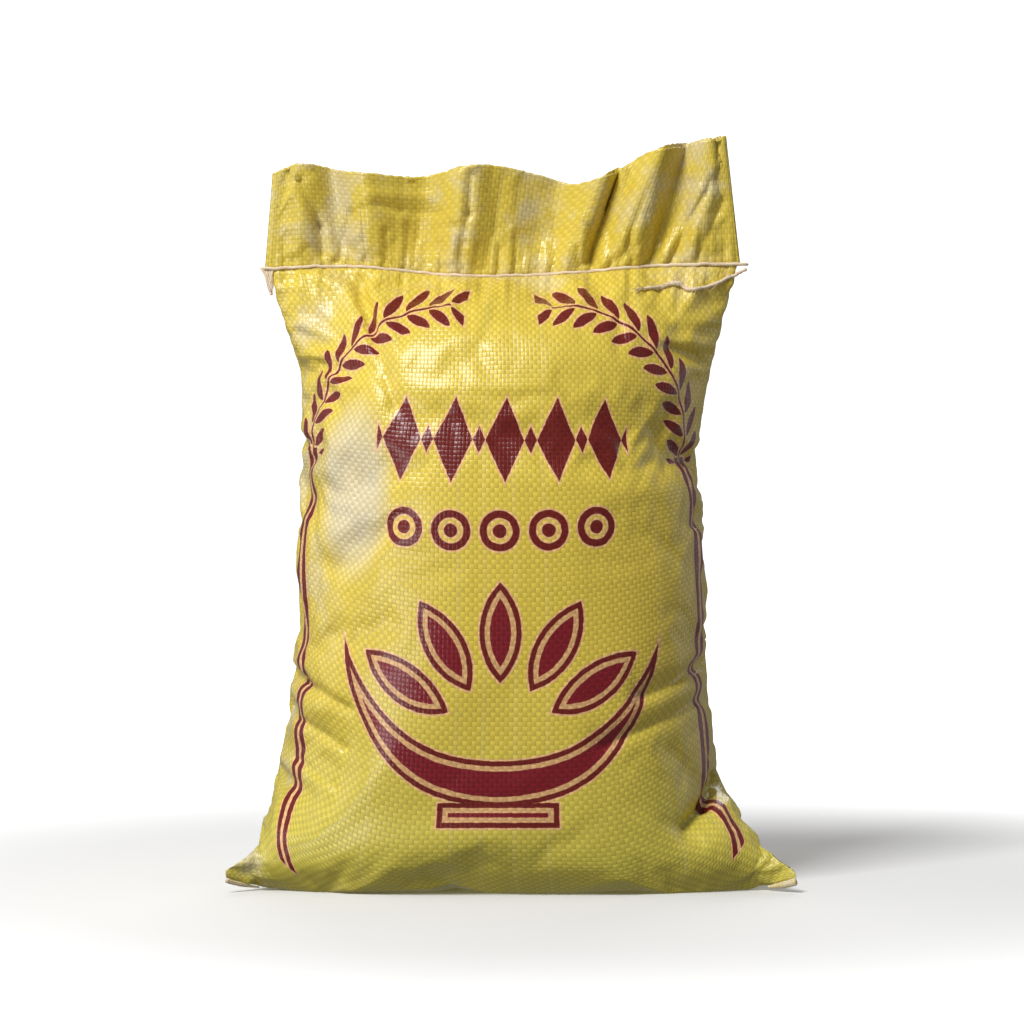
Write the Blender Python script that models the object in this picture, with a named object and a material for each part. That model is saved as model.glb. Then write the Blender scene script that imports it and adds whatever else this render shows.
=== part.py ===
"""A full rice sack of woven tape that stands upright on its base.

The bag is a flat tube of cloth, hemmed along the bottom and sewn shut a hand's width below
its mouth. Filled, its bottom corners stand out as two ears, and the cloth above the closing
seam is a loose flap of two layers. Metres, +Z up, the front faces -Y, and the origin is the
middle of the base.
"""

import math

import bmesh
import bpy
import numpy as np
from mathutils import Vector
from mathutils.bvhtree import BVHTree

# Mesh density: strips across each face of the bag, and rows up it
COLUMNS = 48
BODY_ROWS = 31
FLAP_ROWS = 9
RING_SAMPLES = 361

# Cloth and its edges
LAYER = 0.0014          # half the thickness of the two layers where they lie together
SEAM_BAND = 0.0036      # flat band that the closing thread lies on
GROOVE_DEPTH = 0.0120   # how far the mouth is open between the layers
GROOVE_TOP = 0.0007     # half its width at the rim
GROOVE_FOOT = 0.0002    # half its width at the bottom
GROOVE_INSET = 0.0015   # it stops this far from the side edges
BACK_LAYER_RISE = 0.0022  # the back layer shows above the front one, most near the right
BACK_RISE_AT = 0.83       # share of the width where it does, and how wide the rise is
BACK_RISE_SPREAD = 0.12

# Side edges of the filled bag from the ears up to the seam: share of the height, x, z
LEFT_EDGE = (
    (0.00, -0.1740, 0.0095),
    (0.02, -0.1737, 0.0135),
    (0.07, -0.1605, 0.0230),
    (0.14, -0.1500, 0.0435),
    (0.22, -0.1450, 0.0695),
    (0.32, -0.1385, 0.1060),
    (0.44, -0.1330, 0.1555),
    (0.60, -0.1310, 0.2225),
    (0.74, -0.1300, 0.2780),
    (0.83, -0.1310, 0.3145),
    (0.91, -0.1405, 0.3440),
    (1.00, -0.1530, 0.3785),
)
RIGHT_EDGE = (
    (0.00, 0.1740, 0.0095),
    (0.02, 0.1737, 0.0130),
    (0.06, 0.1625, 0.0205),
    (0.12, 0.1470, 0.0365),
    (0.20, 0.1315, 0.0625),
    (0.30, 0.1245, 0.0975),
    (0.44, 0.1210, 0.1510),
    (0.60, 0.1185, 0.2190),
    (0.74, 0.1165, 0.2710),
    (0.83, 0.1215, 0.3050),
    (0.91, 0.1295, 0.3380),
    (1.00, 0.1425, 0.3815),
)
# The ears sweep forward: how far their tips do, and up to which share of the height
EAR_FORWARD = 0.072
EAR_SHARE = 0.24
EAR_FROM = 0.25         # share of the half width where the sweep begins

# Middle of the front face from the hem under the base up to the seam: share, depth, z
MIDDLE_LINE = (
    (0.00, 0.0000, 0.0000),
    (0.08, 0.0420, 0.0000),
    (0.14, 0.0690, 0.0000),
    (0.21, 0.0865, 0.0150),
    (0.30, 0.0915, 0.0560),
    (0.45, 0.0925, 0.1280),
    (0.60, 0.0905, 0.2010),
    (0.72, 0.0850, 0.2590),
    (0.82, 0.0730, 0.3060),
    (0.90, 0.0530, 0.3390),
    (0.955, 0.0275, 0.3590),
    (1.00, 0.0000, 0.3745),
)

# Form of a ring: share, fullness across, sharpness at the side edges, where and how it lifts
RING_FORM = (
    (0.00, 2.0, 1.50, 0.70, 2.5),
    (0.08, 4.0, 0.75, 0.70, 1.8),
    (0.14, 3.8, 0.42, 0.62, 2.0),
    (0.28, 2.9, 0.52, 0.30, 2.3),
    (0.45, 2.4, 0.48, 0.05, 2.5),
    (0.70, 2.3, 0.50, 0.00, 2.5),
    (0.86, 2.2, 0.62, 0.00, 2.2),
    (1.00, 2.0, 0.80, 0.00, 2.0),
)

# Height of the closing seam and of the mouth's front edge: x, z
SEAM_LINE = (
    (-0.1545, 0.3805),
    (-0.1025, 0.3820),
    (-0.0250, 0.3760),
    (0.0365, 0.3780),
    (0.0920, 0.3825),
    (0.1475, 0.3835),
)
MOUTH_LINE = (
    (-0.1465, 0.4400),
    (-0.1390, 0.4430),
    (-0.0980, 0.4395),
    (-0.0540, 0.4370),
    (-0.0210, 0.4435),
    (0.0210, 0.4370),
    (0.0400, 0.4320),
    (0.0650, 0.4405),
    (0.0870, 0.4515),
    (0.1130, 0.4565),
    (0.1335, 0.4630),
)

# Folds that fan up the flap: x at the seam, x at the mouth, half width, how far forward
FLAP_FOLDS = (
    (-0.1270, -0.1300, 0.0105, 0.0045),
    (-0.1060, -0.1120, 0.0095, -0.0050),
    (-0.0850, -0.0905, 0.0110, 0.0060),
    (-0.0570, -0.0540, 0.0120, -0.0055),
    (-0.0310, -0.0245, 0.0120, 0.0085),
    (0.0180, 0.0300, 0.0190, -0.0100),
    (0.0350, 0.0540, 0.0105, 0.0075),
    (0.0505, 0.0735, 0.0080, -0.0060),
    (0.0665, 0.0925, 0.0100, 0.0095),
    (0.0900, 0.1090, 0.0090, -0.0080),
    (0.1160, 0.1225, 0.0110, 0.0050),
)
FLAP_SIDES = ((-0.1530, -0.1480), (0.1425, 0.1335))   # the same two places for its side edges
FOLD_RISE = 0.030          # height above the seam where the folds are full
FOLD_REACH_BELOW = 0.045   # how far they run on below it
FOLD_SHARE_AT_SEAM = 0.30
LEVEL_FROM = 0.80          # share of the height above which the rings bend to the seam's line

# Creases pressed into the front: from x, z to x, z, half width, depth
FRONT_CREASES = (
    (-0.0940, 0.3760, -0.0695, 0.2935, 0.0080, 0.0040),
    (-0.1320, 0.3180, -0.0995, 0.3175, 0.0075, 0.0032),
    (0.0965, 0.3310, 0.1160, 0.3260, 0.0065, 0.0030),
    (0.1190, 0.1360, 0.0770, 0.1200, 0.0070, 0.0030),
    (0.1150, 0.1150, 0.0530, 0.0900, 0.0070, 0.0030),
    (0.1300, 0.0660, 0.1060, 0.0390, 0.0070, 0.0055),
)
# Ripples in the lower left side: the first one, its run, and the step down to the next
RIPPLE_COUNT = 4
RIPPLE_START = (-0.1360, 0.1300)
RIPPLE_RUN = (0.0360, -0.0170)
RIPPLE_STEP = (-0.0025, -0.0200)
RIPPLE_HALF_WIDTH = 0.0060
RIPPLE_DEPTH = 0.0024

# Threads
CLOSING_THREAD_RADIUS = 0.0011
TAIL_RADIUS = 0.0014
STUB_RADIUS = 0.0009
TOUCHING_GAP = 0.0003
LEFT_LOOP_OUT = 0.0008     # the closing thread's turns stand off the flap's edges
RIGHT_LOOP_OUT = 0.0030
TAIL_POINT_STEP = 0.0026
# The loose tail hangs from the right end back over the front: x, z
TAIL_ROUTE = (
    (0.1462, 0.3805),
    (0.1385, 0.3765),
    (0.1290, 0.3720),
    (0.1170, 0.3680),
    (0.1090, 0.3670),
    (0.1035, 0.3705),
    (0.0920, 0.3680),
    (0.0795, 0.3670),
)
LEFT_END_ROUTE = ((-0.1522, 0.3750), (-0.1512, 0.3705), (-0.1492, 0.3655), (-0.1468, 0.3620))
HEM_STUB_LENGTH = 0.0110
HEM_STUB_DROP = 0.0008
HEM_STUB_FROM_TIP = 0.0015

# Looks: base colour, roughness
CLOTH_LOOK = ((0.70, 0.57, 0.16), 0.42)
THREAD_LOOK = ((0.80, 0.70, 0.52), 0.85)


def through(stations, at):
    """Smooth curve through stations (position, value, ...), read at the positions given."""
    table = np.array(stations, dtype=float)
    knots, values = table[:, 0], table[:, 1:]
    steps = np.diff(knots)[:, None]
    slopes = np.diff(values, axis=0) / steps
    inner = (slopes[:-1] * steps[1:] + slopes[1:] * steps[:-1]) / (steps[1:] + steps[:-1])
    tangents = np.vstack([slopes[:1], inner, slopes[-1:]])
    at = np.clip(np.atleast_1d(np.asarray(at, dtype=float)), knots[0], knots[-1])
    index = np.clip(np.searchsorted(knots, at, side="right") - 1, 0, len(knots) - 2)
    width = steps[index]
    t = ((at - knots[index]) / width[:, 0])[:, None]
    start = (2 * t**3 - 3 * t**2 + 1) * values[index] + (t**3 - 2 * t**2 + t) * width * tangents[index]
    end = (3 * t**2 - 2 * t**3) * values[index + 1] + (t**3 - t**2) * width * tangents[index + 1]
    return start + end


def ease(t):
    """Smooth step from 0 to 1."""
    t = np.clip(t, 0.0, 1.0)
    return t * t * (3 - 2 * t)


def seam_height(x):
    return through(SEAM_LINE, x)[:, 0]


def mouth_height(x):
    return through(MOUTH_LINE, x)[:, 0]


def mouth_place(seam_x):
    """Where the mouth is reached by the cloth that starts at seam_x on the seam."""
    left, right = FLAP_SIDES
    return through((left, *(fold[:2] for fold in FLAP_FOLDS), right), seam_x)[:, 0]


def fold_offset(seam_x):
    """How far the folds push both layers towards the front, by their place on the seam."""
    offset = np.zeros_like(seam_x)
    for middle, _mouth_x, half_width, forward in FLAP_FOLDS:
        offset += forward * np.exp(-((seam_x - middle) / half_width) ** 2)
    return offset


def fold_strength(above_seam):
    """Folds are slight along the seam, full a little above it and gone some way below."""
    rise = FOLD_SHARE_AT_SEAM + (1 - FOLD_SHARE_AT_SEAM) * ease(above_seam / FOLD_RISE)
    fade = FOLD_SHARE_AT_SEAM * ease(1 + above_seam / FOLD_REACH_BELOW)
    return np.where(above_seam >= 0, rise, fade)


def ear_sweep(across, share):
    """How far forward the ears stand."""
    outward = np.clip((np.abs(across) - EAR_FROM) / (1 - EAR_FROM), 0, 1)
    return EAR_FORWARD * outward ** 2 * ease(1 - share / EAR_SHARE)


def body_ring(share, side):
    """One row of the body: points from the left edge over the front (-1) or back (+1)."""
    left, right = through(LEFT_EDGE, share)[0], through(RIGHT_EDGE, share)[0]
    depth, middle_z = through(MIDDLE_LINE, share)[0]
    fullness, sharpness, lift_from, lift_power = through(RING_FORM, share)[0]
    angle = np.linspace(0.0, math.pi, RING_SAMPLES)
    cosine = -np.cos(angle)
    across = np.sign(cosine) * np.abs(cosine) ** (2 / fullness)
    x = (left[0] + right[0]) / 2 + (right[0] - left[0]) / 2 * across
    edge_z = left[1] + (right[1] - left[1]) * (across + 1) / 2
    lift = np.clip((np.abs(across) - lift_from) / (1 - lift_from), 0, 1) ** lift_power
    z = middle_z + (edge_z - middle_z) * lift
    top_edge_z = LEFT_EDGE[-1][2] + (RIGHT_EDGE[-1][2] - LEFT_EDGE[-1][2]) * (across + 1) / 2
    top_z = MIDDLE_LINE[-1][2] + (top_edge_z - MIDDLE_LINE[-1][2]) * lift
    level = ease((share - LEVEL_FROM) / (1 - LEVEL_FROM))
    z = z + level * (seam_height(x) - SEAM_BAND / 2 - top_z)
    y = side * (LAYER + max(depth, 0) * np.sin(angle) ** (2 * sharpness))
    y = y - fold_offset(x) * fold_strength(z - seam_height(x)) - ear_sweep(across, share)
    return even_steps(np.column_stack([x, y, np.maximum(z, 0)]))


def even_steps(points):
    """The same line with COLUMNS + 1 points at equal distances."""
    lengths = np.linalg.norm(np.diff(points, axis=0), axis=1)
    travelled = np.concatenate([[0], np.cumsum(lengths)])
    wanted = np.linspace(0, travelled[-1], COLUMNS + 1)
    return np.column_stack([np.interp(wanted, travelled, points[:, k]) for k in range(3)])


def flap_row(share, side, half_gap, drop=0.0, inset=0.0):
    """One row of the flap, at a share of the height from the seam to the mouth."""
    seam_x = np.linspace(FLAP_SIDES[0][0] + inset, FLAP_SIDES[1][0] - inset, COLUMNS + 1)
    mouth_x = mouth_place(seam_x)
    foot = seam_height(seam_x) + SEAM_BAND / 2
    top = mouth_height(mouth_x)
    if side > 0:
        from_rise = (np.linspace(0, 1, COLUMNS + 1) - BACK_RISE_AT) / BACK_RISE_SPREAD
        top = top + BACK_LAYER_RISE * np.exp(-from_rise ** 2)
    z = foot + (top - foot) * share - drop
    y = side * half_gap - fold_offset(seam_x) * fold_strength(z - foot)
    return np.column_stack([seam_x + (mouth_x - seam_x) * share, y, z])


def press_creases(grid):
    """Push the front's rows in along the creases, at right angles to the cloth."""
    creases = list(FRONT_CREASES)
    for number in range(RIPPLE_COUNT):
        x = RIPPLE_START[0] + RIPPLE_STEP[0] * number
        z = RIPPLE_START[1] + RIPPLE_STEP[1] * number
        creases.append((x, z, x + RIPPLE_RUN[0], z + RIPPLE_RUN[1], RIPPLE_HALF_WIDTH, RIPPLE_DEPTH))
    normals = np.cross(np.gradient(grid, axis=1), np.gradient(grid, axis=0))
    normals /= np.maximum(np.linalg.norm(normals, axis=2, keepdims=True), 1e-9)
    depth = np.zeros(grid.shape[:2])
    for x0, z0, x1, z1, half_width, pressed in creases:
        along = np.array([x1 - x0, z1 - z0])
        offset = grid[:, :, [0, 2]] - np.array([x0, z0])
        t = np.clip(offset @ along / (along @ along), 0, 1)
        distance = np.linalg.norm(offset - t[:, :, None] * along, axis=2)
        depth += pressed * np.exp(-(distance / half_width) ** 2)
    return grid - normals * depth[:, :, None]


def sheet_rows(side):
    """All rows of the front (-1) or back (+1), from the hem over the mouth into its groove."""
    body = np.array([body_ring(share, side) for share in np.linspace(0, 1, BODY_ROWS + 1)])
    if side < 0:
        body[1:-2] = press_creases(body)[1:-2]
        body[:, :, 2] = np.maximum(body[:, :, 2], 0)
    flap = [flap_row(share, side, LAYER) for share in np.linspace(0, 1, FLAP_ROWS + 1)]
    rim = flap_row(1.0, side, GROOVE_TOP, inset=GROOVE_INSET)
    foot = flap_row(1.0, side, GROOVE_FOOT, drop=GROOVE_DEPTH, inset=GROOVE_INSET)
    return list(body) + flap + [rim, foot]


def look(name, colour, roughness):
    material = bpy.data.materials.new(name)
    material.use_nodes = True
    shader = material.node_tree.nodes["Principled BSDF"]
    shader.inputs["Base Color"].default_value = (*colour, 1)
    shader.inputs["Roughness"].default_value = roughness
    shader.inputs["Metallic"].default_value = 0
    return material


def make_sack(material):
    """Closed skin: front and back rows joined into rings, with a strip at hem and groove."""
    front, back = sheet_rows(-1), sheet_rows(1)
    mesh = bmesh.new()
    rings = []
    for front_row, back_row in zip(front, back):
        loop = np.vstack([front_row, back_row[::-1]])
        rings.append([mesh.verts.new(point) for point in loop])
    size = len(rings[0])
    for lower, upper in zip(rings, rings[1:]):
        for k in range(size):
            after = (k + 1) % size
            mesh.faces.new((lower[k], lower[after], upper[after], upper[k]))
    for ring in (rings[0][::-1], rings[-1]):
        for k in range(COLUMNS):
            mesh.faces.new((ring[k], ring[k + 1], ring[size - 2 - k], ring[size - 1 - k]))
    bmesh.ops.recalc_face_normals(mesh, faces=mesh.faces)
    data = bpy.data.meshes.new("sack")
    mesh.to_mesh(data)
    mesh.free()
    data.shade_smooth()
    sack = bpy.data.objects.new("sack", data)
    data.materials.append(material)
    bpy.context.collection.objects.link(sack)
    return sack


def make_tube(name, points, radius, material, closed=False):
    """A thread: a poly line with a round bevel."""
    curve = bpy.data.curves.new(name, "CURVE")
    curve.dimensions = "3D"
    curve.bevel_depth = radius
    curve.bevel_resolution = 2
    curve.use_fill_caps = True
    curve.materials.append(material)
    line = curve.splines.new("POLY")
    line.points.add(len(points) - 1)
    line.use_cyclic_u = closed
    for spot, point in zip(line.points, points):
        spot.co = (*point, 1)
    thread = bpy.data.objects.new(name, curve)
    bpy.context.collection.objects.link(thread)
    return thread


def closing_thread_points():
    """Round the sewn seam: along the front, round the right edge, back and round the left."""
    offset = LAYER + TOUCHING_GAP + CLOSING_THREAD_RADIUS
    x = np.linspace(FLAP_SIDES[0][0], FLAP_SIDES[1][0], COLUMNS + 1)
    z = seam_height(x)
    wave = -fold_offset(x) * FOLD_SHARE_AT_SEAM
    front = np.column_stack([x, wave - offset, z])
    back = np.column_stack([x, wave + offset, z])[::-1]
    return np.vstack([
        front, turn(front[-1], back[0], RIGHT_LOOP_OUT),
        back, turn(back[-1], front[0], -LEFT_LOOP_OUT),
    ])


def turn(start, end, out):
    """Points of a half turn from start to end that stands out to one side."""
    angles = np.linspace(0, math.pi, 7)[1:-1]
    middle = (start + end) / 2
    arm = (start - end) / 2
    side = np.array([out + math.copysign(CLOSING_THREAD_RADIUS, out), 0, 0])
    return np.array([middle + arm * math.cos(a) + side * math.sin(a) for a in angles])


def on_front(sack_tree, x, z, radius):
    """The spot where a thread of this radius lies on the front at x, z."""
    hit, normal, _face, _distance = sack_tree.ray_cast(Vector((x, -1.0, z)), Vector((0, 1, 0)))
    if hit is None:
        return Vector((x, -LAYER - TOUCHING_GAP - radius, z))
    return hit + normal * (radius + TOUCHING_GAP)


def laid_route(sack_tree, route, radius, step):
    """A smooth route through x, z points, laid on the front of the sack."""
    corners = np.array(route)
    lengths = np.linalg.norm(np.diff(corners, axis=0), axis=1)
    travelled = np.concatenate([[0], np.cumsum(lengths)])
    count = max(4, round(travelled[-1] / step))
    flat = through(np.column_stack([travelled, corners]), np.linspace(0, travelled[-1], count + 1))
    laid = np.array([on_front(sack_tree, x, z, radius) for x, z in flat])
    laid[:, 1] = smooth_forward(laid[:, 1])
    return laid


def smooth_forward(depth):
    """Bridge small hollows: each point lies no deeper than its two neighbours do."""
    bridged = depth.copy()
    bridged[1:-1] = np.minimum(depth[1:-1], (depth[:-2] + depth[2:]) / 2)
    return bridged


def hem_stub_points(side):
    """A short end of the hem's thread, under the tip of one ear."""
    ring = body_ring(0.0, -1)
    tip = ring[-1, 0] if side > 0 else ring[0, 0]
    x = tip - side * np.linspace(HEM_STUB_FROM_TIP, HEM_STUB_FROM_TIP + HEM_STUB_LENGTH, 5)
    y = np.interp(x, ring[:, 0], ring[:, 1]) + LAYER
    z = np.interp(x, ring[:, 0], ring[:, 2]) - STUB_RADIUS - TOUCHING_GAP - HEM_STUB_DROP
    return np.column_stack([x, y, z])


def main():
    for item in list(bpy.data.objects):
        bpy.data.objects.remove(item, do_unlink=True)
    cloth = look("cloth", *CLOTH_LOOK)
    thread = look("thread", *THREAD_LOOK)
    sack = make_sack(cloth)
    bpy.context.view_layer.update()
    tree = BVHTree.FromObject(sack, bpy.context.evaluated_depsgraph_get())
    make_tube("closing_thread", closing_thread_points(), CLOSING_THREAD_RADIUS, thread, closed=True)
    make_tube("thread_tail", laid_route(tree, TAIL_ROUTE, TAIL_RADIUS, TAIL_POINT_STEP), TAIL_RADIUS, thread)
    left_end = laid_route(tree, LEFT_END_ROUTE, STUB_RADIUS, TAIL_POINT_STEP)
    make_tube("thread_end_left", left_end, STUB_RADIUS, thread)
    make_tube("hem_thread_left", hem_stub_points(-1), STUB_RADIUS, thread)
    make_tube("hem_thread_right", hem_stub_points(1), STUB_RADIUS, thread)


main()
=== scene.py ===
"""A full rice sack of woven plastic tape, sewn shut, standing upright on a pale floor.

The bag is a flat tube of cloth that is hemmed along the bottom and sewn shut below its mouth.
Every face carries its place on the flat cloth as its UV, in metres: across the front from 0 to
the flat width, on over the back to twice that, and up from the hem. Weave and print read it.
"""

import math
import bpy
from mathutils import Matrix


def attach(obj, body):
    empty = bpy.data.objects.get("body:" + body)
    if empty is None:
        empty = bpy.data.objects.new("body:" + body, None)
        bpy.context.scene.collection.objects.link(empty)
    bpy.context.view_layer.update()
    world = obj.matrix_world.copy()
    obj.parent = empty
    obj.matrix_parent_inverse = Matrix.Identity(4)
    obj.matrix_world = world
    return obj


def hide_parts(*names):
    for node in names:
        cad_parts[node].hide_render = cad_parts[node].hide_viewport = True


bl_info = {
    "name": "Woven Rice Sack",
    "version": (1, 0, 0),
    "blender": (4, 5, 0),
    "location": "View3D > Sidebar > Rice Sack",
    "description": "A full sack of woven tape with its flap, threads and printed front",
    "category": "Object",
}

import bmesh
import bpy
import numpy as np
from mathutils import Vector
from mathutils.bvhtree import BVHTree

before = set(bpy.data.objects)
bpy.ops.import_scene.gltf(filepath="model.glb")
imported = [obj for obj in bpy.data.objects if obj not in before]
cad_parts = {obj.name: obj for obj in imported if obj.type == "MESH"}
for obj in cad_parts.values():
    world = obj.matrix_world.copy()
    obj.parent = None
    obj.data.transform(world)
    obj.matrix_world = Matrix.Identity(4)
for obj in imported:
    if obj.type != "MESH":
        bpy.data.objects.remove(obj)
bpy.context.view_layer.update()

# Mesh density: strips across each face of the bag, and rows up it
COLUMNS = 96
BODY_ROWS = 120
FLAP_COLUMNS = 110
FLAP_ROWS = 24
RING_SAMPLES = 361

# The flat bag
FLAT_WIDTH = 0.355
FLAT_HEIGHT = 0.488         # from the hem to the closing seam

# Cloth and its edges
LAYER = 0.0008              # half the thickness of two layers that lie together
SEAM_OVERLAP = 0.0012       # body and flap reach this far into each other at the seam
CLOTH_THICKNESS = 0.00035
BACK_LAYER_RISE = 0.0022    # the back layer shows above the front one, most near the right

# Side edges of the filled bag from the ears up to the seam: share of the height, x, z
LEFT_EDGE = (
    (0.00, -0.1740, 0.0095),
    (0.02, -0.1737, 0.0135),
    (0.07, -0.1605, 0.0230),
    (0.14, -0.1500, 0.0435),
    (0.22, -0.1450, 0.0695),
    (0.32, -0.1385, 0.1060),
    (0.44, -0.1330, 0.1555),
    (0.60, -0.1310, 0.2225),
    (0.74, -0.1300, 0.2780),
    (0.83, -0.1310, 0.3145),
    (0.91, -0.1405, 0.3440),
    (1.00, -0.1530, 0.3785),
)
RIGHT_EDGE = (
    (0.00, 0.1740, 0.0095),
    (0.02, 0.1737, 0.0130),
    (0.06, 0.1625, 0.0205),
    (0.12, 0.1470, 0.0365),
    (0.20, 0.1315, 0.0625),
    (0.30, 0.1245, 0.0975),
    (0.44, 0.1210, 0.1510),
    (0.60, 0.1185, 0.2190),
    (0.74, 0.1165, 0.2710),
    (0.83, 0.1215, 0.3050),
    (0.91, 0.1295, 0.3380),
    (1.00, 0.1425, 0.3815),
)
# The ears sweep forward: how far their tips do, and up to which share of the height
EAR_FORWARD = 0.072
EAR_SHARE = 0.24
EAR_FROM = 0.25             # share of the half width where the sweep begins
EAR_BEND = 1.5              # how late on its way out it sets in

# Middle of the front face from the hem under the base up to the seam: share, depth, z
MIDDLE_LINE = (
    (0.00, 0.0000, 0.0000),
    (0.08, 0.0420, 0.0000),
    (0.14, 0.0690, 0.0000),
    (0.21, 0.0865, 0.0150),
    (0.30, 0.0915, 0.0560),
    (0.45, 0.0925, 0.1280),
    (0.60, 0.0905, 0.2010),
    (0.72, 0.0850, 0.2590),
    (0.82, 0.0730, 0.3060),
    (0.90, 0.0530, 0.3390),
    (0.955, 0.0275, 0.3590),
    (1.00, 0.0000, 0.3745),
)

# Form of a ring: share, fullness across, sharpness at the side edges, where and how it lifts
RING_FORM = (
    (0.00, 2.0, 1.50, 0.70, 2.5),
    (0.08, 4.0, 0.75, 0.70, 1.8),
    (0.14, 3.8, 0.42, 0.62, 2.0),
    (0.28, 2.9, 0.52, 0.30, 2.3),
    (0.45, 2.4, 0.48, 0.05, 2.5),
    (0.70, 2.3, 0.50, 0.00, 2.5),
    (0.86, 2.2, 0.62, 0.00, 2.2),
    (1.00, 2.0, 0.80, 0.00, 2.0),
)

# Height of the closing seam and of the mouth's front edge: x, z
SEAM_LINE = (
    (-0.1545, 0.3805),
    (-0.1025, 0.3820),
    (-0.0250, 0.3760),
    (0.0365, 0.3780),
    (0.0920, 0.3825),
    (0.1475, 0.3835),
)
MOUTH_LINE = (
    (-0.1465, 0.4400),
    (-0.1390, 0.4430),
    (-0.0980, 0.4395),
    (-0.0540, 0.4370),
    (-0.0210, 0.4435),
    (0.0210, 0.4370),
    (0.0400, 0.4320),
    (0.0650, 0.4405),
    (0.0870, 0.4515),
    (0.1130, 0.4565),
    (0.1335, 0.4630),
)

# Folds that fan up the flap: x at the seam, x at the mouth, half width, how far forward
FLAP_FOLDS = (
    (-0.1270, -0.1300, 0.0105, 0.0045),
    (-0.1060, -0.1120, 0.0095, -0.0050),
    (-0.0850, -0.0905, 0.0110, 0.0060),
    (-0.0570, -0.0540, 0.0120, -0.0055),
    (-0.0310, -0.0245, 0.0120, 0.0085),
    (0.0180, 0.0300, 0.0190, -0.0100),
    (0.0350, 0.0540, 0.0105, 0.0075),
    (0.0505, 0.0735, 0.0080, -0.0060),
    (0.0665, 0.0925, 0.0100, 0.0095),
    (0.0900, 0.1090, 0.0090, -0.0080),
    (0.1160, 0.1225, 0.0110, 0.0050),
)
# The flap's left and right sides: x at the seam, x at the mouth
FLAP_SIDES = ((-0.1530, -0.1480), (0.1425, 0.1335))
FLAP_HEIGHT = 0.067         # on the flat cloth
# Narrow folds that run up from the stitches: x at the seam, half width, how far forward, reach up
NARROW_FOLDS = (
    (-0.1180, 0.0032, -0.0030, 0.80),
    (-0.1110, 0.0034, 0.0026, 0.60),
    (-0.0590, 0.0030, -0.0024, 0.75),
    (0.0440, 0.0030, -0.0046, 1.60),
    (0.0575, 0.0034, 0.0024, 0.90),
    (0.0665, 0.0030, -0.0030, 0.95),
    (0.0755, 0.0034, 0.0026, 0.85),
    (0.0840, 0.0030, -0.0030, 0.80),
    (0.0930, 0.0034, 0.0022, 0.70),
    (0.1015, 0.0030, -0.0026, 0.70),
    (0.1110, 0.0032, 0.0020, 0.55),
)
# Sharp folds of the flap's film: from x, z to x, z, half width, how far back
FLAP_CREASES = (
    (-0.1308, 0.4352, -0.1190, 0.4060, 0.0034, 0.0026),
    (-0.1190, 0.4060, -0.1115, 0.3840, 0.0030, 0.0024),
    (-0.1215, 0.4350, -0.1000, 0.4010, 0.0048, -0.0022),
    (-0.0985, 0.4150, -0.1070, 0.3850, 0.0030, 0.0022),
    (-0.0843, 0.4197, -0.0688, 0.4166, 0.0030, 0.0011),
    (-0.0688, 0.4166, -0.0428, 0.4150, 0.0026, 0.0008),
    (-0.0860, 0.4265, -0.0500, 0.4250, 0.0040, -0.0014),
    (-0.0250, 0.4390, -0.0262, 0.4140, 0.0030, 0.0030),
    (-0.0262, 0.4140, -0.0320, 0.3890, 0.0028, 0.0022),
    (-0.0320, 0.4390, -0.0345, 0.4120, 0.0040, -0.0022),
    (0.0655, 0.4400, 0.0495, 0.3850, 0.0026, 0.0026),
    (0.0720, 0.4420, 0.0575, 0.3850, 0.0030, -0.0018),
    (0.0862, 0.3820, 0.1115, 0.4350, 0.0024, 0.0020),
    (0.0930, 0.3820, 0.1180, 0.4300, 0.0024, -0.0016),
    (0.0980, 0.3820, 0.1250, 0.4365, 0.0026, 0.0018),
    (0.0800, 0.3820, 0.0975, 0.4240, 0.0022, -0.0014),
    (0.1140, 0.3840, 0.1310, 0.4220, 0.0026, 0.0014),
)
# Short upright gathers just above the stitches: how many, where, height and depth at most
GATHER_COUNT = 34
GATHER_SPAN = (-0.108, 0.088)
GATHER_HEIGHT = 0.034
GATHER_DEPTH = 0.0016
GATHER_HALF_WIDTH = 0.0017
GATHER_LENGTHS = (0.0061, 0.0083, 0.0117)   # small gathers along both sides of the seam

# Folds are full this far above the seam, gone this far below it, and this strong along it
FOLD_RISE = 0.030
FOLD_REACH_BELOW = 0.045
FOLD_SHARE_AT_SEAM = 0.30
LEVEL_FROM = 0.80           # share of the height from which rows turn level with the seam

# How the cloth behaves while it settles
CLOTH_FEEL = {
    "quality": 5,
    "mass": 0.05,
    "air_damping": 2,
    "tension_stiffness": 60,
    "compression_stiffness": 60,
    "shear_stiffness": 15,
    "bending_stiffness": 0.05,
    "tension_damping": 5,
    "compression_damping": 5,
    "shear_damping": 3,
    "bending_damping": 0.5,
    "pin_stiffness": 1.0,
}

# Creases pressed into the front: from x, z to x, z, half width, depth
FRONT_CREASES = (
    (-0.0940, 0.3760, -0.0695, 0.2935, 0.0080, 0.0040),
    (-0.1320, 0.3180, -0.0995, 0.3175, 0.0075, 0.0032),
    (0.0965, 0.3310, 0.1160, 0.3260, 0.0065, 0.0030),
    (0.1190, 0.1360, 0.0770, 0.1200, 0.0070, 0.0030),
    (0.1150, 0.1150, 0.0530, 0.0900, 0.0070, 0.0030),
    (0.1300, 0.0660, 0.1060, 0.0390, 0.0070, 0.0055),
)
RIPPLE_COUNT = 4
RIPPLE_START = (-0.1360, 0.1300)
RIPPLE_RUN = (0.0360, -0.0170)
RIPPLE_STEP = (-0.0025, -0.0200)
RIPPLE_HALF_WIDTH = 0.0060
RIPPLE_DEPTH = 0.0024
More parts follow.
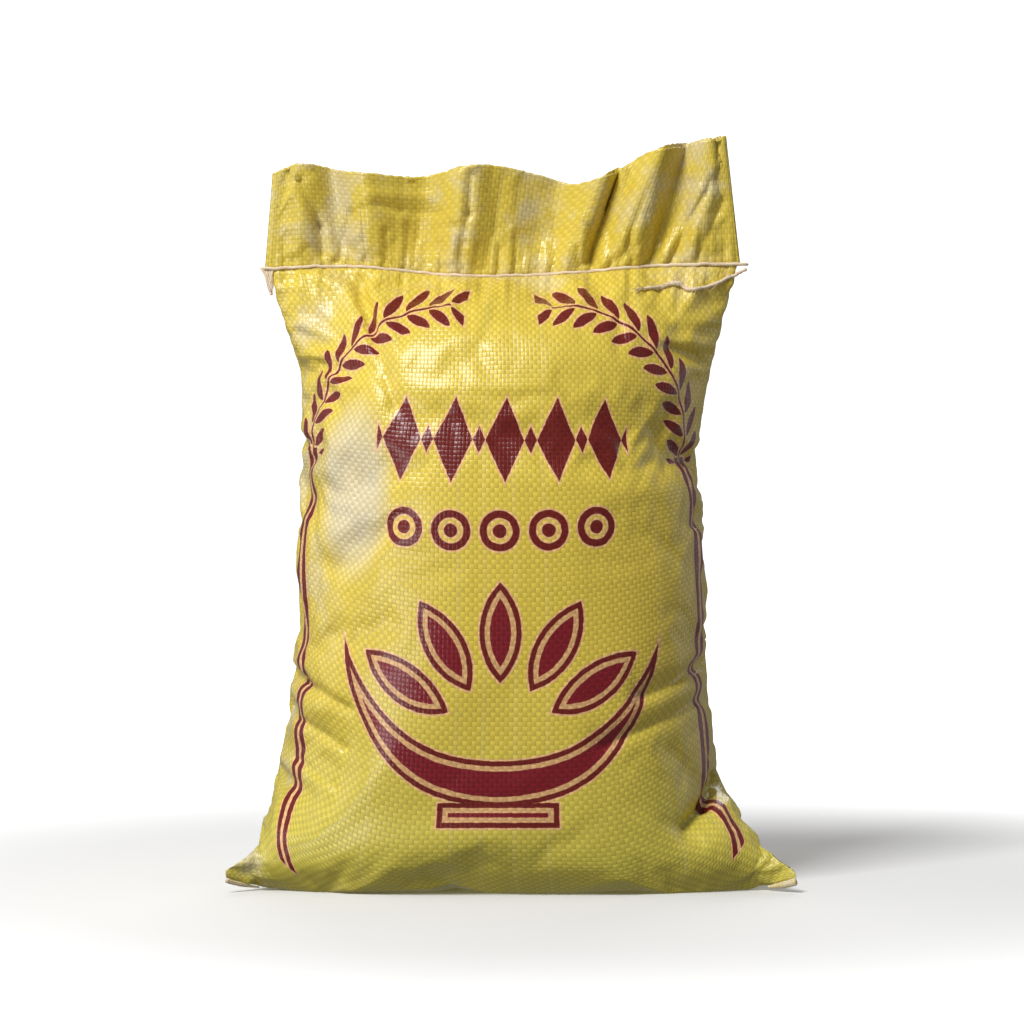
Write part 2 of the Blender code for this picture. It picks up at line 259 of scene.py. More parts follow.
# Sharp ones, pressed into the settled cloth: from x, z to x, z, half width, depth
SHARP_CREASES = (
    (0.1270, 0.0665, 0.1185, 0.0515, 0.0030, 0.0050),
    (0.1185, 0.0515, 0.1060, 0.0405, 0.0026, 0.0042),
    (0.1160, 0.1350, 0.0790, 0.1205, 0.0024, 0.0014),
    (0.1130, 0.1140, 0.0560, 0.0910, 0.0024, 0.0016),
    (0.0970, 0.3318, 0.1150, 0.3268, 0.0022, 0.0016),
    (-0.0950, 0.3700, -0.0700, 0.2960, 0.0024, 0.0015),
    (-0.1240, 0.3240, -0.1030, 0.3150, 0.0028, 0.0018),
    (-0.1250, 0.1260, -0.0980, 0.1120, 0.0026, 0.0017),
    (-0.1290, 0.1030, -0.1010, 0.0880, 0.0026, 0.0019),
    (-0.1320, 0.0790, -0.1060, 0.0650, 0.0026, 0.0017),
)

# The loose tail hangs from the right end back over the front: x, z
TAIL_ROUTE = (
    (0.1462, 0.3805),
    (0.1385, 0.3765),
    (0.1290, 0.3720),
    (0.1170, 0.3680),
    (0.1090, 0.3670),
    (0.1035, 0.3705),
    (0.0920, 0.3680),
    (0.0795, 0.3670),
)
TAIL_RADIUS = 0.0014
FUZZ_COUNT = 42
FUZZ_PLACES = ((0.68, 0.16), (0.97, 0.10), (0.45, 0.80))   # where fibres stand off: share, spread
FUZZ_RADIUS = 0.00022
THREAD_RADIUS = 0.0011
THREAD_TWIST = 0.0058       # length of one turn of the two plies
THREAD_SIDES = 12
PLY_GROOVE = 0.20           # depth of the groove between two plies, as a share of the radius
# The tassel of cut threads at the left end of the seam
STRAND_COUNT = 10
STRAND_RADIUS = 0.00058
TASSEL_TOP = (-0.1548, 0.3800)
TASSEL_WIDTH = 0.0072
TASSEL_TIP = (-0.1487, 0.3640)
# Rolled hem under the tips of the ears: length, half height; and depth as a share of height
HEM_ROLL_LEFT = (0.0190, 0.0015)
HEM_ROLL_RIGHT = (0.0160, 0.0024)
HEM_ROLL_FLATNESS = 0.60


# Lamps, all aimed at the sack: name, place, watts, width and height
LAMPS = (
    ("main_light", (-1.05, -1.50, 2.35), 72, (0.9, 0.9)),
    ("left_light", (-2.1, 0.15, 0.55), 8, (1.2, 1.6)),
    ("right_light", (1.9, 0.70, 0.50), 3.5, (1.0, 1.4)),
    ("back_light", (0.2, 2.4, 1.6), 22, (1.6, 1.6)),
    ("low_light", (-1.7, -2.0, 0.20), 17, (1.0, 0.5)),
)
LAMP_AIM = (0, 0, 0.22)
WORLD_STRENGTH = 0.22
CAMERA_LENS = 147
CAMERA_AWAY = 2.6
CAMERA_DOWN = 1.5           # degrees below level that it looks
CAMERA_AIM = (0.0006, 0.2325)       # x and z of the middle of the view


# Curves and rows of points

def through(stations, at):
    """Smooth curve through stations (position, value, ...), read at the positions given."""
    table = np.array(stations, dtype=float)
    knots, values = table[:, 0], table[:, 1:]
    steps = np.diff(knots)[:, None]
    slopes = np.diff(values, axis=0) / steps
    inner = (slopes[:-1] * steps[1:] + slopes[1:] * steps[:-1]) / (steps[1:] + steps[:-1])
    tangents = np.vstack([slopes[:1], inner, slopes[-1:]])
    at = np.clip(np.atleast_1d(np.asarray(at, dtype=float)), knots[0], knots[-1])
    index = np.clip(np.searchsorted(knots, at, side="right") - 1, 0, len(knots) - 2)
    width = steps[index]
    t = ((at - knots[index]) / width[:, 0])[:, None]
    start = (2 * t**3 - 3 * t**2 + 1) * values[index]
    start += (t**3 - 2 * t**2 + t) * width * tangents[index]
    end = (3 * t**2 - 2 * t**3) * values[index + 1]
    end += (t**3 - t**2) * width * tangents[index + 1]
    return start + end


def ease(t):
    """Smooth step from 0 to 1."""
    t = np.clip(t, 0.0, 1.0)
    return t * t * (3 - 2 * t)


def bell(offset, half_width):
    """A smooth hump, 1 in its middle."""
    return np.exp(-(offset / half_width) ** 2)


def waves(at, lengths, seed):
    """Sum of smooth waves with random phases, about -1 to 1, the same on every run."""
    chance = np.random.default_rng(seed)
    total = np.zeros_like(at)
    for length in lengths:
        total += np.sin(2 * math.pi * (at / length + chance.random()))
    return total / len(lengths)


def seam_height(x):
    return through(SEAM_LINE, x)[:, 0]


def mouth_height(x):
    return through(MOUTH_LINE, x)[:, 0]


def mouth_place(seam_x):
    """Where the mouth is reached by the cloth that starts at seam_x on the seam."""
    left, right = FLAP_SIDES
    return through((left, *(fold[:2] for fold in FLAP_FOLDS), right), seam_x)[:, 0]


def fold_offset(seam_x):
    """How far the folds push both layers towards the front, by their place on the seam."""
    offset = np.zeros_like(seam_x)
    for middle, _mouth_x, half_width, forward in FLAP_FOLDS:
        offset += forward * bell(seam_x - middle, half_width)
    return offset


def fold_strength(above_seam):
    """Folds are slight along the seam, full a little above it and gone some way below."""
    rise = FOLD_SHARE_AT_SEAM + (1 - FOLD_SHARE_AT_SEAM) * ease(above_seam / FOLD_RISE)
    fade = FOLD_SHARE_AT_SEAM * ease(1 + above_seam / FOLD_REACH_BELOW)
    return np.where(above_seam >= 0, rise, fade)


def ear_sweep(across, share):
    """How far forward the ears stand."""
    outward = np.clip((np.abs(across) - EAR_FROM) / (1 - EAR_FROM), 0, 1)
    return EAR_FORWARD * outward ** EAR_BEND * ease(1 - share / EAR_SHARE)


def travelled_along(points):
    """How far each point is from the first, along the line."""
    steps = np.linalg.norm(np.diff(points, axis=0), axis=1)
    return np.concatenate([[0], np.cumsum(steps)])


def even_steps(points, count):
    """The same line with count + 1 points at equal distances."""
    travelled = travelled_along(points)
    wanted = np.linspace(0, travelled[-1], count + 1)
    return np.column_stack([np.interp(wanted, travelled, points[:, k]) for k in range(3)])


def body_ring(share, side):
    """One row of the body: points from the left edge over the front (-1) or back (+1)."""
    left, right = through(LEFT_EDGE, share)[0], through(RIGHT_EDGE, share)[0]
    depth, middle_z = through(MIDDLE_LINE, share)[0]
    fullness, sharpness, lift_from, lift_power = through(RING_FORM, share)[0]
    angle = np.linspace(0.0, math.pi, RING_SAMPLES)
    cosine = -np.cos(angle)
    across = np.sign(cosine) * np.abs(cosine) ** (2 / fullness)
    x = (left[0] + right[0]) / 2 + (right[0] - left[0]) / 2 * across
    edge_z = left[1] + (right[1] - left[1]) * (across + 1) / 2
    lift = np.clip((np.abs(across) - lift_from) / (1 - lift_from), 0, 1) ** lift_power
    z = middle_z + (edge_z - middle_z) * lift
    top_edge_z = LEFT_EDGE[-1][2] + (RIGHT_EDGE[-1][2] - LEFT_EDGE[-1][2]) * (across + 1) / 2
    top_z = MIDDLE_LINE[-1][2] + (top_edge_z - MIDDLE_LINE[-1][2]) * lift
    level = ease((share - LEVEL_FROM) / (1 - LEVEL_FROM))
    z = z + level * (seam_height(x) + SEAM_OVERLAP / 2 - top_z)
    y = side * (LAYER + max(depth, 0) * np.sin(angle) ** (2 * sharpness))
    y = y - fold_offset(x) * fold_strength(z - seam_height(x)) - ear_sweep(across, share)
    return even_steps(np.column_stack([x, y, np.maximum(z, 0)]), COLUMNS)


def crease_depth(points, creases):
    """How deep the creases are at each point, by its x and z."""
    depth = np.zeros(points.shape[:-1])
    for x0, z0, x1, z1, half_width, pressed in creases:
        along = np.array([x1 - x0, z1 - z0])
        offset = points[..., [0, 2]] - np.array([x0, z0])
        t = np.clip(offset @ along / (along @ along), 0, 1)
        distance = np.linalg.norm(offset - t[..., None] * along, axis=-1)
        depth += pressed * bell(distance, half_width)
    return depth


def sheet_normals(points):
    """Which way the cloth faces at each point of a grid of them."""
    normals = np.cross(np.gradient(points, axis=1), np.gradient(points, axis=0))
    return normals / np.maximum(np.linalg.norm(normals, axis=2, keepdims=True), 1e-9)


def ripples():
    """A row of like creases, one under the other."""
    creases = []
    for number in range(RIPPLE_COUNT):
        x = RIPPLE_START[0] + RIPPLE_STEP[0] * number
        z = RIPPLE_START[1] + RIPPLE_STEP[1] * number
        end = (x + RIPPLE_RUN[0], z + RIPPLE_RUN[1])
        creases.append((x, z, *end, RIPPLE_HALF_WIDTH, RIPPLE_DEPTH))
    return creases


def press_creases(grid):
    """Push the front's rows in along the creases, at right angles to the cloth."""
    depth = crease_depth(grid, [*FRONT_CREASES, *ripples()])
    return grid - sheet_normals(grid) * depth[..., None]


def narrow_folds(seam_x, share):
    """How far the narrow folds push the flap forward: each fades out at its own height."""
    offset = np.zeros(np.broadcast(seam_x, share).shape)
    for middle, half_width, forward, reach in NARROW_FOLDS:
        fade = ease(share / 0.15) * (1 - ease((share - reach * 0.4) / (reach * 0.6)))
        offset += forward * fade * bell(seam_x - middle, half_width)
    return offset


def twice_as_fine(points):
    """The same sheet with a row and a column more between each two, on smooth curves."""
    for axis in (0, 1):
        points = np.moveaxis(points, axis, 0)
        before, after = 2 * points[:1] - points[1:2], 2 * points[-1:] - points[-2:-1]
        ends = np.concatenate([before, points, after])
        between = (9 * (ends[1:-2] + ends[2:-1]) - ends[:-3] - ends[3:]) / 16
        finer = np.empty((2 * len(points) - 1, *points.shape[1:]))
        finer[0::2] = points
        finer[1::2] = between
        points = np.moveaxis(finer, 0, axis)
    return points


def body_points():
    """Rows of the whole body from the hem to the seam, over the front and on over the back."""
    shares = np.linspace(0, 1, BODY_ROWS + 1)
    front = np.array([body_ring(share, -1) for share in shares])
    back = np.array([body_ring(share, 1) for share in shares])
    front[1:-2] = press_creases(front)[1:-2]
    front[:, :, 2] = np.maximum(front[:, :, 2], 0)
    middle = (front + back) / 2
    for row in (0, -1):
        front[row] = back[row] = middle[row]
    for column in (0, -1):
        front[:, column] = back[:, column] = middle[:, column]
    return np.concatenate([front, back[:, -2::-1]], axis=1)


# Mesh helpers

def every(items, what, width, kind=np.float32):
    """One property of all the items of a mesh, as an array with width numbers in a row."""
    numbers = np.empty(len(items) * width, dtype=kind)
    items.foreach_get(what, numbers)
    return numbers.reshape(-1, width)


def set_every(items, what, numbers):
    items.foreach_set(what, numbers.reshape(-1).astype(np.float32))


def laid_sheet(name, points, flat):
    """A grid of quads laid through rows of points, whose UV map is the place on the flat cloth."""
    rows, columns = points.shape[0] - 1, points.shape[1] - 1
    bpy.ops.object.select_all(action="DESELECT")
    bpy.ops.mesh.primitive_grid_add(x_subdivisions=columns, y_subdivisions=rows, size=1)
    piece = bpy.context.object
    piece.name = piece.data.name = name
    mesh = piece.data
    vertex = every(mesh.loops, "vertex_index", 1, np.int32)[:, 0]
    set_every(mesh.vertices, "co", points)
    set_every(mesh.uv_layers[0].data, "uv", flat.reshape(-1, 2)[vertex])
    mesh.update()
    return piece


def weld(piece):
    """Close a piece where its points meet, and turn its faces outwards."""
    bpy.context.view_layer.objects.active = piece
    bpy.ops.object.mode_set(mode="EDIT")
    bpy.ops.mesh.select_all(action="SELECT")
    bpy.ops.mesh.remove_doubles(threshold=1e-6)
    bpy.ops.mesh.normals_make_consistent(inside=False)
    bpy.ops.object.mode_set(mode="OBJECT")


def corners(piece):
    return every(piece.data.vertices, "co", 3).astype(float)


def move_corners(piece, place):
    set_every(piece.data.vertices, "co", place)
    piece.data.update()


def outward(piece):
    return every(piece.data.vertices, "normal", 3).astype(float)


def place_on_flat(piece):
    """Each corner's place on the flat cloth."""
    mesh = piece.data
    vertex = every(mesh.loops, "vertex_index", 1, np.int32)[:, 0]
    place = np.zeros((len(mesh.vertices), 2))
    place[vertex] = every(mesh.uv_layers[0].data, "uv", 2)
    return place


def apply_modifier(piece, modifier):
    bpy.context.view_layer.objects.active = piece
    bpy.ops.object.modifier_apply(modifier=modifier.name)


def weigh(piece, name, weights):
    """A vertex group with these weights."""
    group = piece.vertex_groups.new(name=name)
    for index, weight in enumerate(weights):
        group.add([index], float(weight), "REPLACE")
    return group.name


def let_cloth_settle(piece, hold, slack, most_slack, pressure, frames, furthest):
    """Let the cloth find its wrinkles from the shape it has, and keep the result.

    hold says how firmly each corner stays, from 0 to 1, and slack what share of most_slack
    the cloth round it is larger than the space it lies in.
    """
    before = corners(piece)
    cloth = piece.modifiers.new("Cloth", "CLOTH")
    settings = cloth.settings
    for name, value in CLOTH_FEEL.items():
        setattr(settings, name, value)
    settings.vertex_group_mass = weigh(piece, "hold", hold)
    settings.vertex_group_shrink = weigh(piece, "taut", 1 - np.clip(slack, 0, 1))
    settings.shrink_min = -most_slack
    settings.shrink_max = 0
    settings.use_pressure = pressure > 0
    settings.uniform_pressure_force = pressure
    settings.effector_weights.gravity = 0
    cloth.collision_settings.use_collision = False
    cloth.collision_settings.use_self_collision = False
    cloth.point_cache.frame_start = 1
    cloth.point_cache.frame_end = frames
    for number in range(1, frames + 1):
        bpy.context.scene.frame_set(number)
    apply_modifier(piece, cloth)
    bpy.context.scene.frame_set(1)
    piece.vertex_groups.clear()
    keep_near(piece, before, furthest)


def keep_near(piece, before, furthest):
    """Shorten each corner's move so that none is longer than furthest."""
    moved = corners(piece) - before
    length = np.linalg.norm(moved, axis=1, keepdims=True)
    moved *= furthest * np.tanh(length / furthest) / np.maximum(length, 1e-9)
    move_corners(piece, before + moved)


def smooth_twice_as_fine(piece):
    """One subdivision, applied."""
    finer = piece.modifiers.new("Finer", "SUBSURF")
    finer.levels = finer.render_levels = 1
    apply_modifier(piece, finer)


def shade_smooth(piece):
    for face in piece.data.polygons:
        face.use_smooth = True


def finish_piece(piece, material, slot, *nodes):
    """Give a piece its finish and its body, and hide the CAD nodes that it stands for."""
    piece.data.materials.clear()
    piece.data.materials.append(material)
    shade_smooth(piece)
    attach(piece, "root")
    if nodes:
        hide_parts(*nodes)
    return piece


def joined(pieces):
    """Several pieces made one, under the first one's name."""
    bpy.ops.object.select_all(action="DESELECT")
    for piece in pieces:
        piece.select_set(True)
    bpy.context.view_layer.objects.active = pieces[0]
    bpy.ops.object.join()
    return pieces[0]


def surface_tree(*names):
    """Something to lay threads on: the surface of several pieces together."""
    together = bmesh.new()
    for name in names:
        together.from_mesh(bpy.data.objects[name].data)
    tree = BVHTree.FromBMesh(together)
    together.free()
    return tree


def on_front(tree, x, z, lift):
    """The spot that lies lift in front of the cloth at x, z."""
    hit, normal, _face, _distance = tree.ray_cast(Vector((x, -1.0, z)), Vector((0, 1, 0)))
    if hit is None:
        return np.array((x, -LAYER - lift, z))
    return np.array(hit + normal * lift)


def smooth_line(points, passes, closed=False):
    """Each pass moves every inner point halfway to the middle of its neighbours."""
    line = points.copy()
    for _ in range(passes):
        if closed:
            line = line / 2 + (np.roll(line, 1, axis=0) + np.roll(line, -1, axis=0)) / 4
        else:
            line[1:-1] = line[1:-1] / 2 + (line[:-2] + line[2:]) / 4
    return line


def thread_directions(path, closed):
    """At each point of a thread, sideways and over it, both at right angles to its run."""
    tangent = np.gradient(path, axis=0)
    if closed:
        tangent[0] = tangent[-1] = path[1] - path[-2]
    tangent /= np.linalg.norm(tangent, axis=1, keepdims=True)
    side = np.cross(tangent, (0.0, 0.0, 1.0))
    upright = np.linalg.norm(side, axis=1) < 0.2
    side[upright] = np.cross(tangent[upright], (0.0, -1.0, 0.0))
    side /= np.linalg.norm(side, axis=1, keepdims=True)
    return side, np.cross(side, tangent)


def ply_lobes(travelled, angle, plies, twist, closed):
    """The thread's outline as a share of its radius, with grooves that wind round it."""
    length = travelled[-1]
    turns = max(1, round(length / twist)) if closed else length / twist
    phase = 2 * math.pi * turns * travelled / length
    lobe = np.abs(np.cos((angle * plies + phase[:, None] * plies) / 2))
    return (1 - PLY_GROOVE) + PLY_GROOVE * lobe


def twisted_thread(
        name, path, radius, closed=False, plies=2, twist=THREAD_TWIST, swell=1.0, flat=1.0):
    """A thread of twisted plies swept along a path of points, with its own UV: round, along.

    swell is its thickness as a share of radius, and flat its depth as a share of its height.
    """
    path = np.asarray(path, dtype=float)
    if closed:
        path = np.vstack([path, path[:1]])
    side, over = thread_directions(path, closed)
    travelled = travelled_along(path)
    angle = np.linspace(0, 2 * math.pi, THREAD_SIDES + 1)[None, :]
    lobes = ply_lobes(travelled, angle, plies, twist, closed)
    size = radius * lobes * np.broadcast_to(swell, len(path))[:, None]
    points = (
        path[:, None, :]
        + side[:, None, :] * (np.cos(angle) * size * flat)[:, :, None]
        + over[:, None, :] * (np.sin(angle) * size)[:, :, None]
    )
    if not closed:
        ends = np.repeat(path[[0, -1], None], THREAD_SIDES + 1, axis=1)
        points = np.concatenate([ends[:1], points, ends[1:]])
        travelled = np.pad(travelled, 1, mode="edge")
    own_uv = np.stack(np.broadcast_arrays(angle / (2 * math.pi), travelled[:, None]), axis=2)
    thread = laid_sheet(name, points, own_uv)
    weld(thread)
    return thread


# Shader sums

def feed(socket, value):
    """Give a node's socket what it works with: a number, a colour or another node's output."""
    if isinstance(value, Worked):
        value = value.socket
    if isinstance(value, bpy.types.NodeSocket):
        Worked.tree.links.new(value, socket)
    else:
        socket.default_value = value


class Worked:
    """A number that a material works out at each point, so sums can be written as sums."""

    tree = None

    def __init__(self, socket):
        self.socket = socket

    def work(self, operation, *others):
        node = Worked.tree.nodes.new("ShaderNodeMath")
        node.operation = operation
        for socket, value in zip(node.inputs, (self, *others)):
            feed(socket, value)
        return Worked(node.outputs[0])

    def __add__(self, other):
        return self.work("ADD", other)

    def __sub__(self, other):
        return self.work("SUBTRACT", other)

    def __mul__(self, other):
        return self.work("MULTIPLY", other)

    def __truediv__(self, other):
        return self.work("DIVIDE", other)

    def __pow__(self, other):
        return self.work("POWER", other)

    def low(self, other):
        return self.work("MINIMUM", other)

    def high(self, other):
        return self.work("MAXIMUM", other)

    def size(self):
        return self.work("ABSOLUTE")

    def root(self):
        return self.work("SQRT")

    def whole(self):
        return self.work("FLOOR")

    def part(self):
        return self.work("FRACT")

    def sine(self):
        return self.work("SINE")

    def cosine(self):
        return self.work("COSINE")

    def between(self, low, high, start=0.0, end=1.0):
        """Smooth step: start where the number is low, end where it is high."""
        node = Worked.tree.nodes.new("ShaderNodeMapRange")
        node.interpolation_type = "SMOOTHSTEP"
        feed(node.inputs["Value"], self)
        limits = {"From Min": low, "From Max": high, "To Min": start, "To Max": end}
        for name, value in limits.items():
            feed(node.inputs[name], value)
        return Worked(node.outputs["Result"])


def mixed(share, first, second):
    """Between two numbers."""
    node = Worked.tree.nodes.new("ShaderNodeMix")
    node.data_type = "FLOAT"
    for place, value in ((0, share), (2, first), (3, second)):
        feed(node.inputs[place], value)
    return Worked(node.outputs[0])


def mixed_colours(share, first, second):
    node = Worked.tree.nodes.new("ShaderNodeMix")
    node.data_type = "RGBA"
    for place, value in ((0, share), (6, first), (7, second)):
        feed(node.inputs[place], value)
    return node


def painted(share, under, over):
    """Colour over colour: under is a colour socket or three numbers, and over three numbers."""
    if not isinstance(under, bpy.types.NodeSocket):
        under = (*under, 1)
    return mixed_colours(share, under, (*over, 1)).outputs[2]


def toned(colour, brightness):
    """A colour times a number."""
    node = mixed_colours(1, colour, brightness)
    node.blend_type = "MULTIPLY"
    return node.outputs[2]


def noise(vector, scale, detail=2.0, roughness=0.5):
    """Smooth noise from 0 to 1."""
    node = Worked.tree.nodes.new("ShaderNodeTexNoise")
    feed(node.inputs["Vector"], vector)
    feed(node.inputs["Scale"], scale)
    feed(node.inputs["Detail"], detail)
    feed(node.inputs["Roughness"], roughness)
    return Worked(node.outputs["Fac"])


def chance(number, seed):
    """A random number from 0 to 1 for each whole number."""
    node = Worked.tree.nodes.new("ShaderNodeTexWhiteNoise")
    node.noise_dimensions = "1D"
    feed(node.inputs["W"], number + seed)
    return Worked(node.outputs["Value"])


def vector_of(x, y):
    node = Worked.tree.nodes.new("ShaderNodeCombineXYZ")
    feed(node.inputs[0], x)
    feed(node.inputs[1], y)
    return node.outputs[0]


def separate(socket):
    node = Worked.tree.nodes.new("ShaderNodeSeparateXYZ")
    feed(node.inputs[0], socket)
    return [Worked(output) for output in node.outputs]


def on_own_map():
    """A point's place on its piece's own UV map: across or round, and up or along."""
    node = Worked.tree.nodes.new("ShaderNodeUVMap")
    node.uv_map = "UVMap"
    return separate(node.outputs[0])[:2]


def in_room():
    """A point's place in metres, as every finished piece sits at the origin."""
    return Worked.tree.nodes.new("ShaderNodeTexCoord").outputs["Object"]


def new_material(name):
    """A material whose nodes the sums below are added to, with its shader."""
    material = bpy.data.materials.new(name)
    material.use_nodes = True
    Worked.tree = material.node_tree
    return material, material.node_tree.nodes["Principled BSDF"]


def bump(shader, height, distance):
    node = Worked.tree.nodes.new("ShaderNodeBump")
    feed(node.inputs["Strength"], 1.0)
    feed(node.inputs["Distance"], distance)
    feed(node.inputs["Height"], height)
    feed(shader.inputs["Normal"], node.outputs[0])


# Flat shapes: how far a point is outside them, in metres

def disc(x, y, radius):
    return (x * x + y * y).root() - radius


def oblong(x, y, half_width, half_height):
    beyond_x = x.size() - half_width
    beyond_y = y.size() - half_height
    outside = (beyond_x.high(0) ** 2 + beyond_y.high(0) ** 2).root()
    return outside + beyond_x.high(beyond_y).low(0)


def lozenge(x, y, half_width, half_height):
    slope = half_width * half_height / math.hypot(half_width, half_height)
    return (x.size() / half_width + y.size() / half_height - 1) * slope


def leaf(x, y, half_length, half_width):
    """A pointed leaf that lies along x."""
    back = (half_length ** 2 - half_width ** 2) / (2 * half_width)
    return disc(x, y.size() + back, back + half_width)


def turned(x, y, degrees):
    cosine, sine = math.cos(math.radians(degrees)), math.sin(math.radians(degrees))
    return x * cosine + y * sine, y * cosine - x * sine


def bearing(x, y):
    """Angle in radians from straight up, positive towards +x."""
    return x.work("ARCTAN2", y)


# The print and the painted sheen, on the flat front: metres from the middle of its width, and up from
# the hem

PAINTED_GLOSS_PATCH = (-0.099, 0.330, 0.028, 0.058)   # painted gloss, a whitish highlight at the left: middle, half its size

STRIPE_PAIRS = (-0.1480, 0.1455)
STRIPE_APART = 0.0041       # from the middle of a pair to the middle of each stripe
STRIPE_HALF = 0.0025
STRIPE_TOP = 0.352
STRIPE_FOOT = 0.062
STRIPE_LEAN = 0.016         # the left pair runs this far inwards at its foot

BAND_MIDDLE = (0.004, 0.3660)
BAND_STEP = 0.0340
BAND_HALF = 0.0850
LARGE_LOZENGE = (0.0128, 0.0265)    # half width, half height
SMALL_LOZENGE = (0.0040, 0.0085)

SPRIG_CENTRE = (0.0360, 0.3460)     # of the circle that the stem bends round
SPRIG_RADIUS = 0.1100
SPRIG_STEM = (0.80, 0.80, 0.0009)   # middle and half of its angle, half its width
SPRIG_LEAVES = (0.725, 0.0908)      # middle of their angle, half their run along the stem
SPRIG_STEP = 0.150                  # angle from one pair of leaves to the next
SPRIG_LEAF = (0.0118, 0.0036)       # half length, half width
LEAF_OFF_STEM = 0.0092
LEAF_TURN = -40

ROW_HEIGHT = 0.3105
ROW_STEP = 0.0300
ROW_COUNT = 5
RING_RADIUS = 0.0100
RING_HALF = 0.0022
DOT_RADIUS = 0.0042

BOWL = (0.2450, 0.1000)             # a disc: height of its middle, radius
BOWL_HOLLOW = (0.2850, 0.1120)      # the larger disc that is cut out of it
BOWL_FOOT = (0.1400, 0.0340, 0.0075)        # height of its middle, half width, half height
GRAIN_FAN = (0.1860, 31, 5)         # height that they fan out from, degrees apart, how many
GRAIN = (0.0640, 0.0300, 0.0125)    # from there to its middle, half length, half width
GRAIN_REACH = 0.08                  # turns an angle beyond the fan into a distance

# Paint of the print: where it is solid and where it ends, in metres outside a shape, and its cover
HALO_EDGE = (0.0008, 0.0015, 0.85)
INK_EDGE = (-0.0003, 0.0003, 0.99)
INLINE_EDGE = (-0.0034, -0.0029, 0.92)
FILL_EDGE = (-0.0064, -0.0059, 0.99)


def stripe_pairs(x, y):
    """Two stripes up each side, and the light ground that both of a pair stand on."""
    lean = y.between(0.06, 0.22, STRIPE_LEAN, 0.0)
    up = y - (STRIPE_TOP + STRIPE_FOOT) / 2
    half_height = (STRIPE_TOP - STRIPE_FOOT) / 2
    left = x - lean - STRIPE_PAIRS[0]
    right = x - STRIPE_PAIRS[1]
    middle = mixed((x * 1e5).between(-1, 1), left, right)
    lines = oblong(middle.size() - STRIPE_APART, up, STRIPE_HALF, half_height)
    ground = oblong(middle, up, STRIPE_APART + STRIPE_HALF, half_height)
    return lines, ground


def lozenge_band(x, y):
    """A row of lozenges with a small one between each two."""
    along = x - BAND_MIDDLE[0]
    cell = (along / BAND_STEP + 0.5).part() * BAND_STEP - BAND_STEP / 2
    between = (along / BAND_STEP).part() * BAND_STEP - BAND_STEP / 2
    up = y - BAND_MIDDLE[1]
    large = lozenge(cell, up, *LARGE_LOZENGE)
    small = lozenge(between, up, *SMALL_LOZENGE)
    return large.low(small).high(along.size() - BAND_HALF)


def sprigs(x, y):
    """Two curved sprigs of paired leaves that spring from the stripes and bend inwards."""
    out = x.size() - SPRIG_CENTRE[0]
    up = y - SPRIG_CENTRE[1]
    reach = (out * out + up * up).root()
    angle = bearing(out, up)
    along = ((angle / SPRIG_STEP).part() - 0.5) * (SPRIG_STEP * SPRIG_RADIUS)
    off = (reach - SPRIG_RADIUS).size()
    leaves = leaf(*turned(along, off - LEAF_OFF_STEM, LEAF_TURN), *SPRIG_LEAF)
    leaves_middle, leaves_half = SPRIG_LEAVES
    leaves = leaves.high((angle - leaves_middle).size() * SPRIG_RADIUS - leaves_half)
    stem_middle, stem_half, stem_width = SPRIG_STEM
    ends = ((angle - stem_middle).size() - stem_half) * SPRIG_RADIUS
    return leaves.low((off - stem_width).high(ends))


def ring_row(x, y):
    """A row of small discs with a ring round each."""
    cell = (x / ROW_STEP + 0.5).part() * ROW_STEP - ROW_STEP / 2
    up = y - ROW_HEIGHT
    ring = disc(cell, up, RING_RADIUS).size() - RING_HALF
    return ring.low(disc(cell, up, DOT_RADIUS)).high(x.size() - ROW_COUNT / 2 * ROW_STEP)


def emblem(x, y):
    """A bowl with large grains that fan out of it."""
    hollow = disc(x, y - BOWL_HOLLOW[0], BOWL_HOLLOW[1])
    bowl = disc(x, y - BOWL[0], BOWL[1]).high(hollow * -1)
    foot = oblong(x, y - BOWL_FOOT[0], *BOWL_FOOT[1:])
    fan_height, degrees, count = GRAIN_FAN
    up = y - fan_height
    reach = (x * x + up * up).root()
    angle = bearing(x, up)
    step = math.radians(degrees)
    near = ((angle / step + 0.5).part() - 0.5) * step
    grain = leaf(reach * near.cosine() - GRAIN[0], reach * near.sine(), *GRAIN[1:])
    grains = grain.high((angle.size() - count / 2 * step) * GRAIN_REACH)
    return bowl.low(foot).low(grains)


def printed(paint, x, up, colours):
    """Ink on the cloth: a light ground a little larger than each shape, then the shapes."""
    wobble = noise(vector_of(x, up), 240.0, 1.0) * 0.0008 - 0.0004
    lines, ground = stripe_pairs(x, up)
    small = lines.low(lozenge_band(x, up)).low(sprigs(x, up)).low(ring_row(x, up)) + wobble
    large = emblem(x, up) + wobble
    either = small.low(large)
    coats = (
        (either.low(ground + wobble), HALO_EDGE, colours.halo),
        (either, INK_EDGE, colours.ink),
        (large, INLINE_EDGE, colours.inline),
        (large, FILL_EDGE, colours.fill),
    )
    for outside, (solid, gone, cover), colour in coats:
        paint = painted(outside.between(solid, gone, 1.0, 0.0) * cover, paint, colour)
    return paint


# Materials

def tape_form(along, aside):
    """Height of a tape: it dips where it goes under the next one, and at both its edges."""
    return (along * along) * -0.75 + (aside ** 4) * -0.45


def woven(warp, weft):
    """Whether the warp lies on top, and the relief, from both positions counted in tapes."""
    on_warp = warp.part() * 2 - 1
    on_weft = weft.part() * 2 - 1
    warp_on_top = ((warp.whole() + weft.whole()) * 0.5).part() * 2
    relief = mixed(warp_on_top, tape_form(on_warp, on_weft), tape_form(on_weft, on_warp))
    return warp_on_top, relief


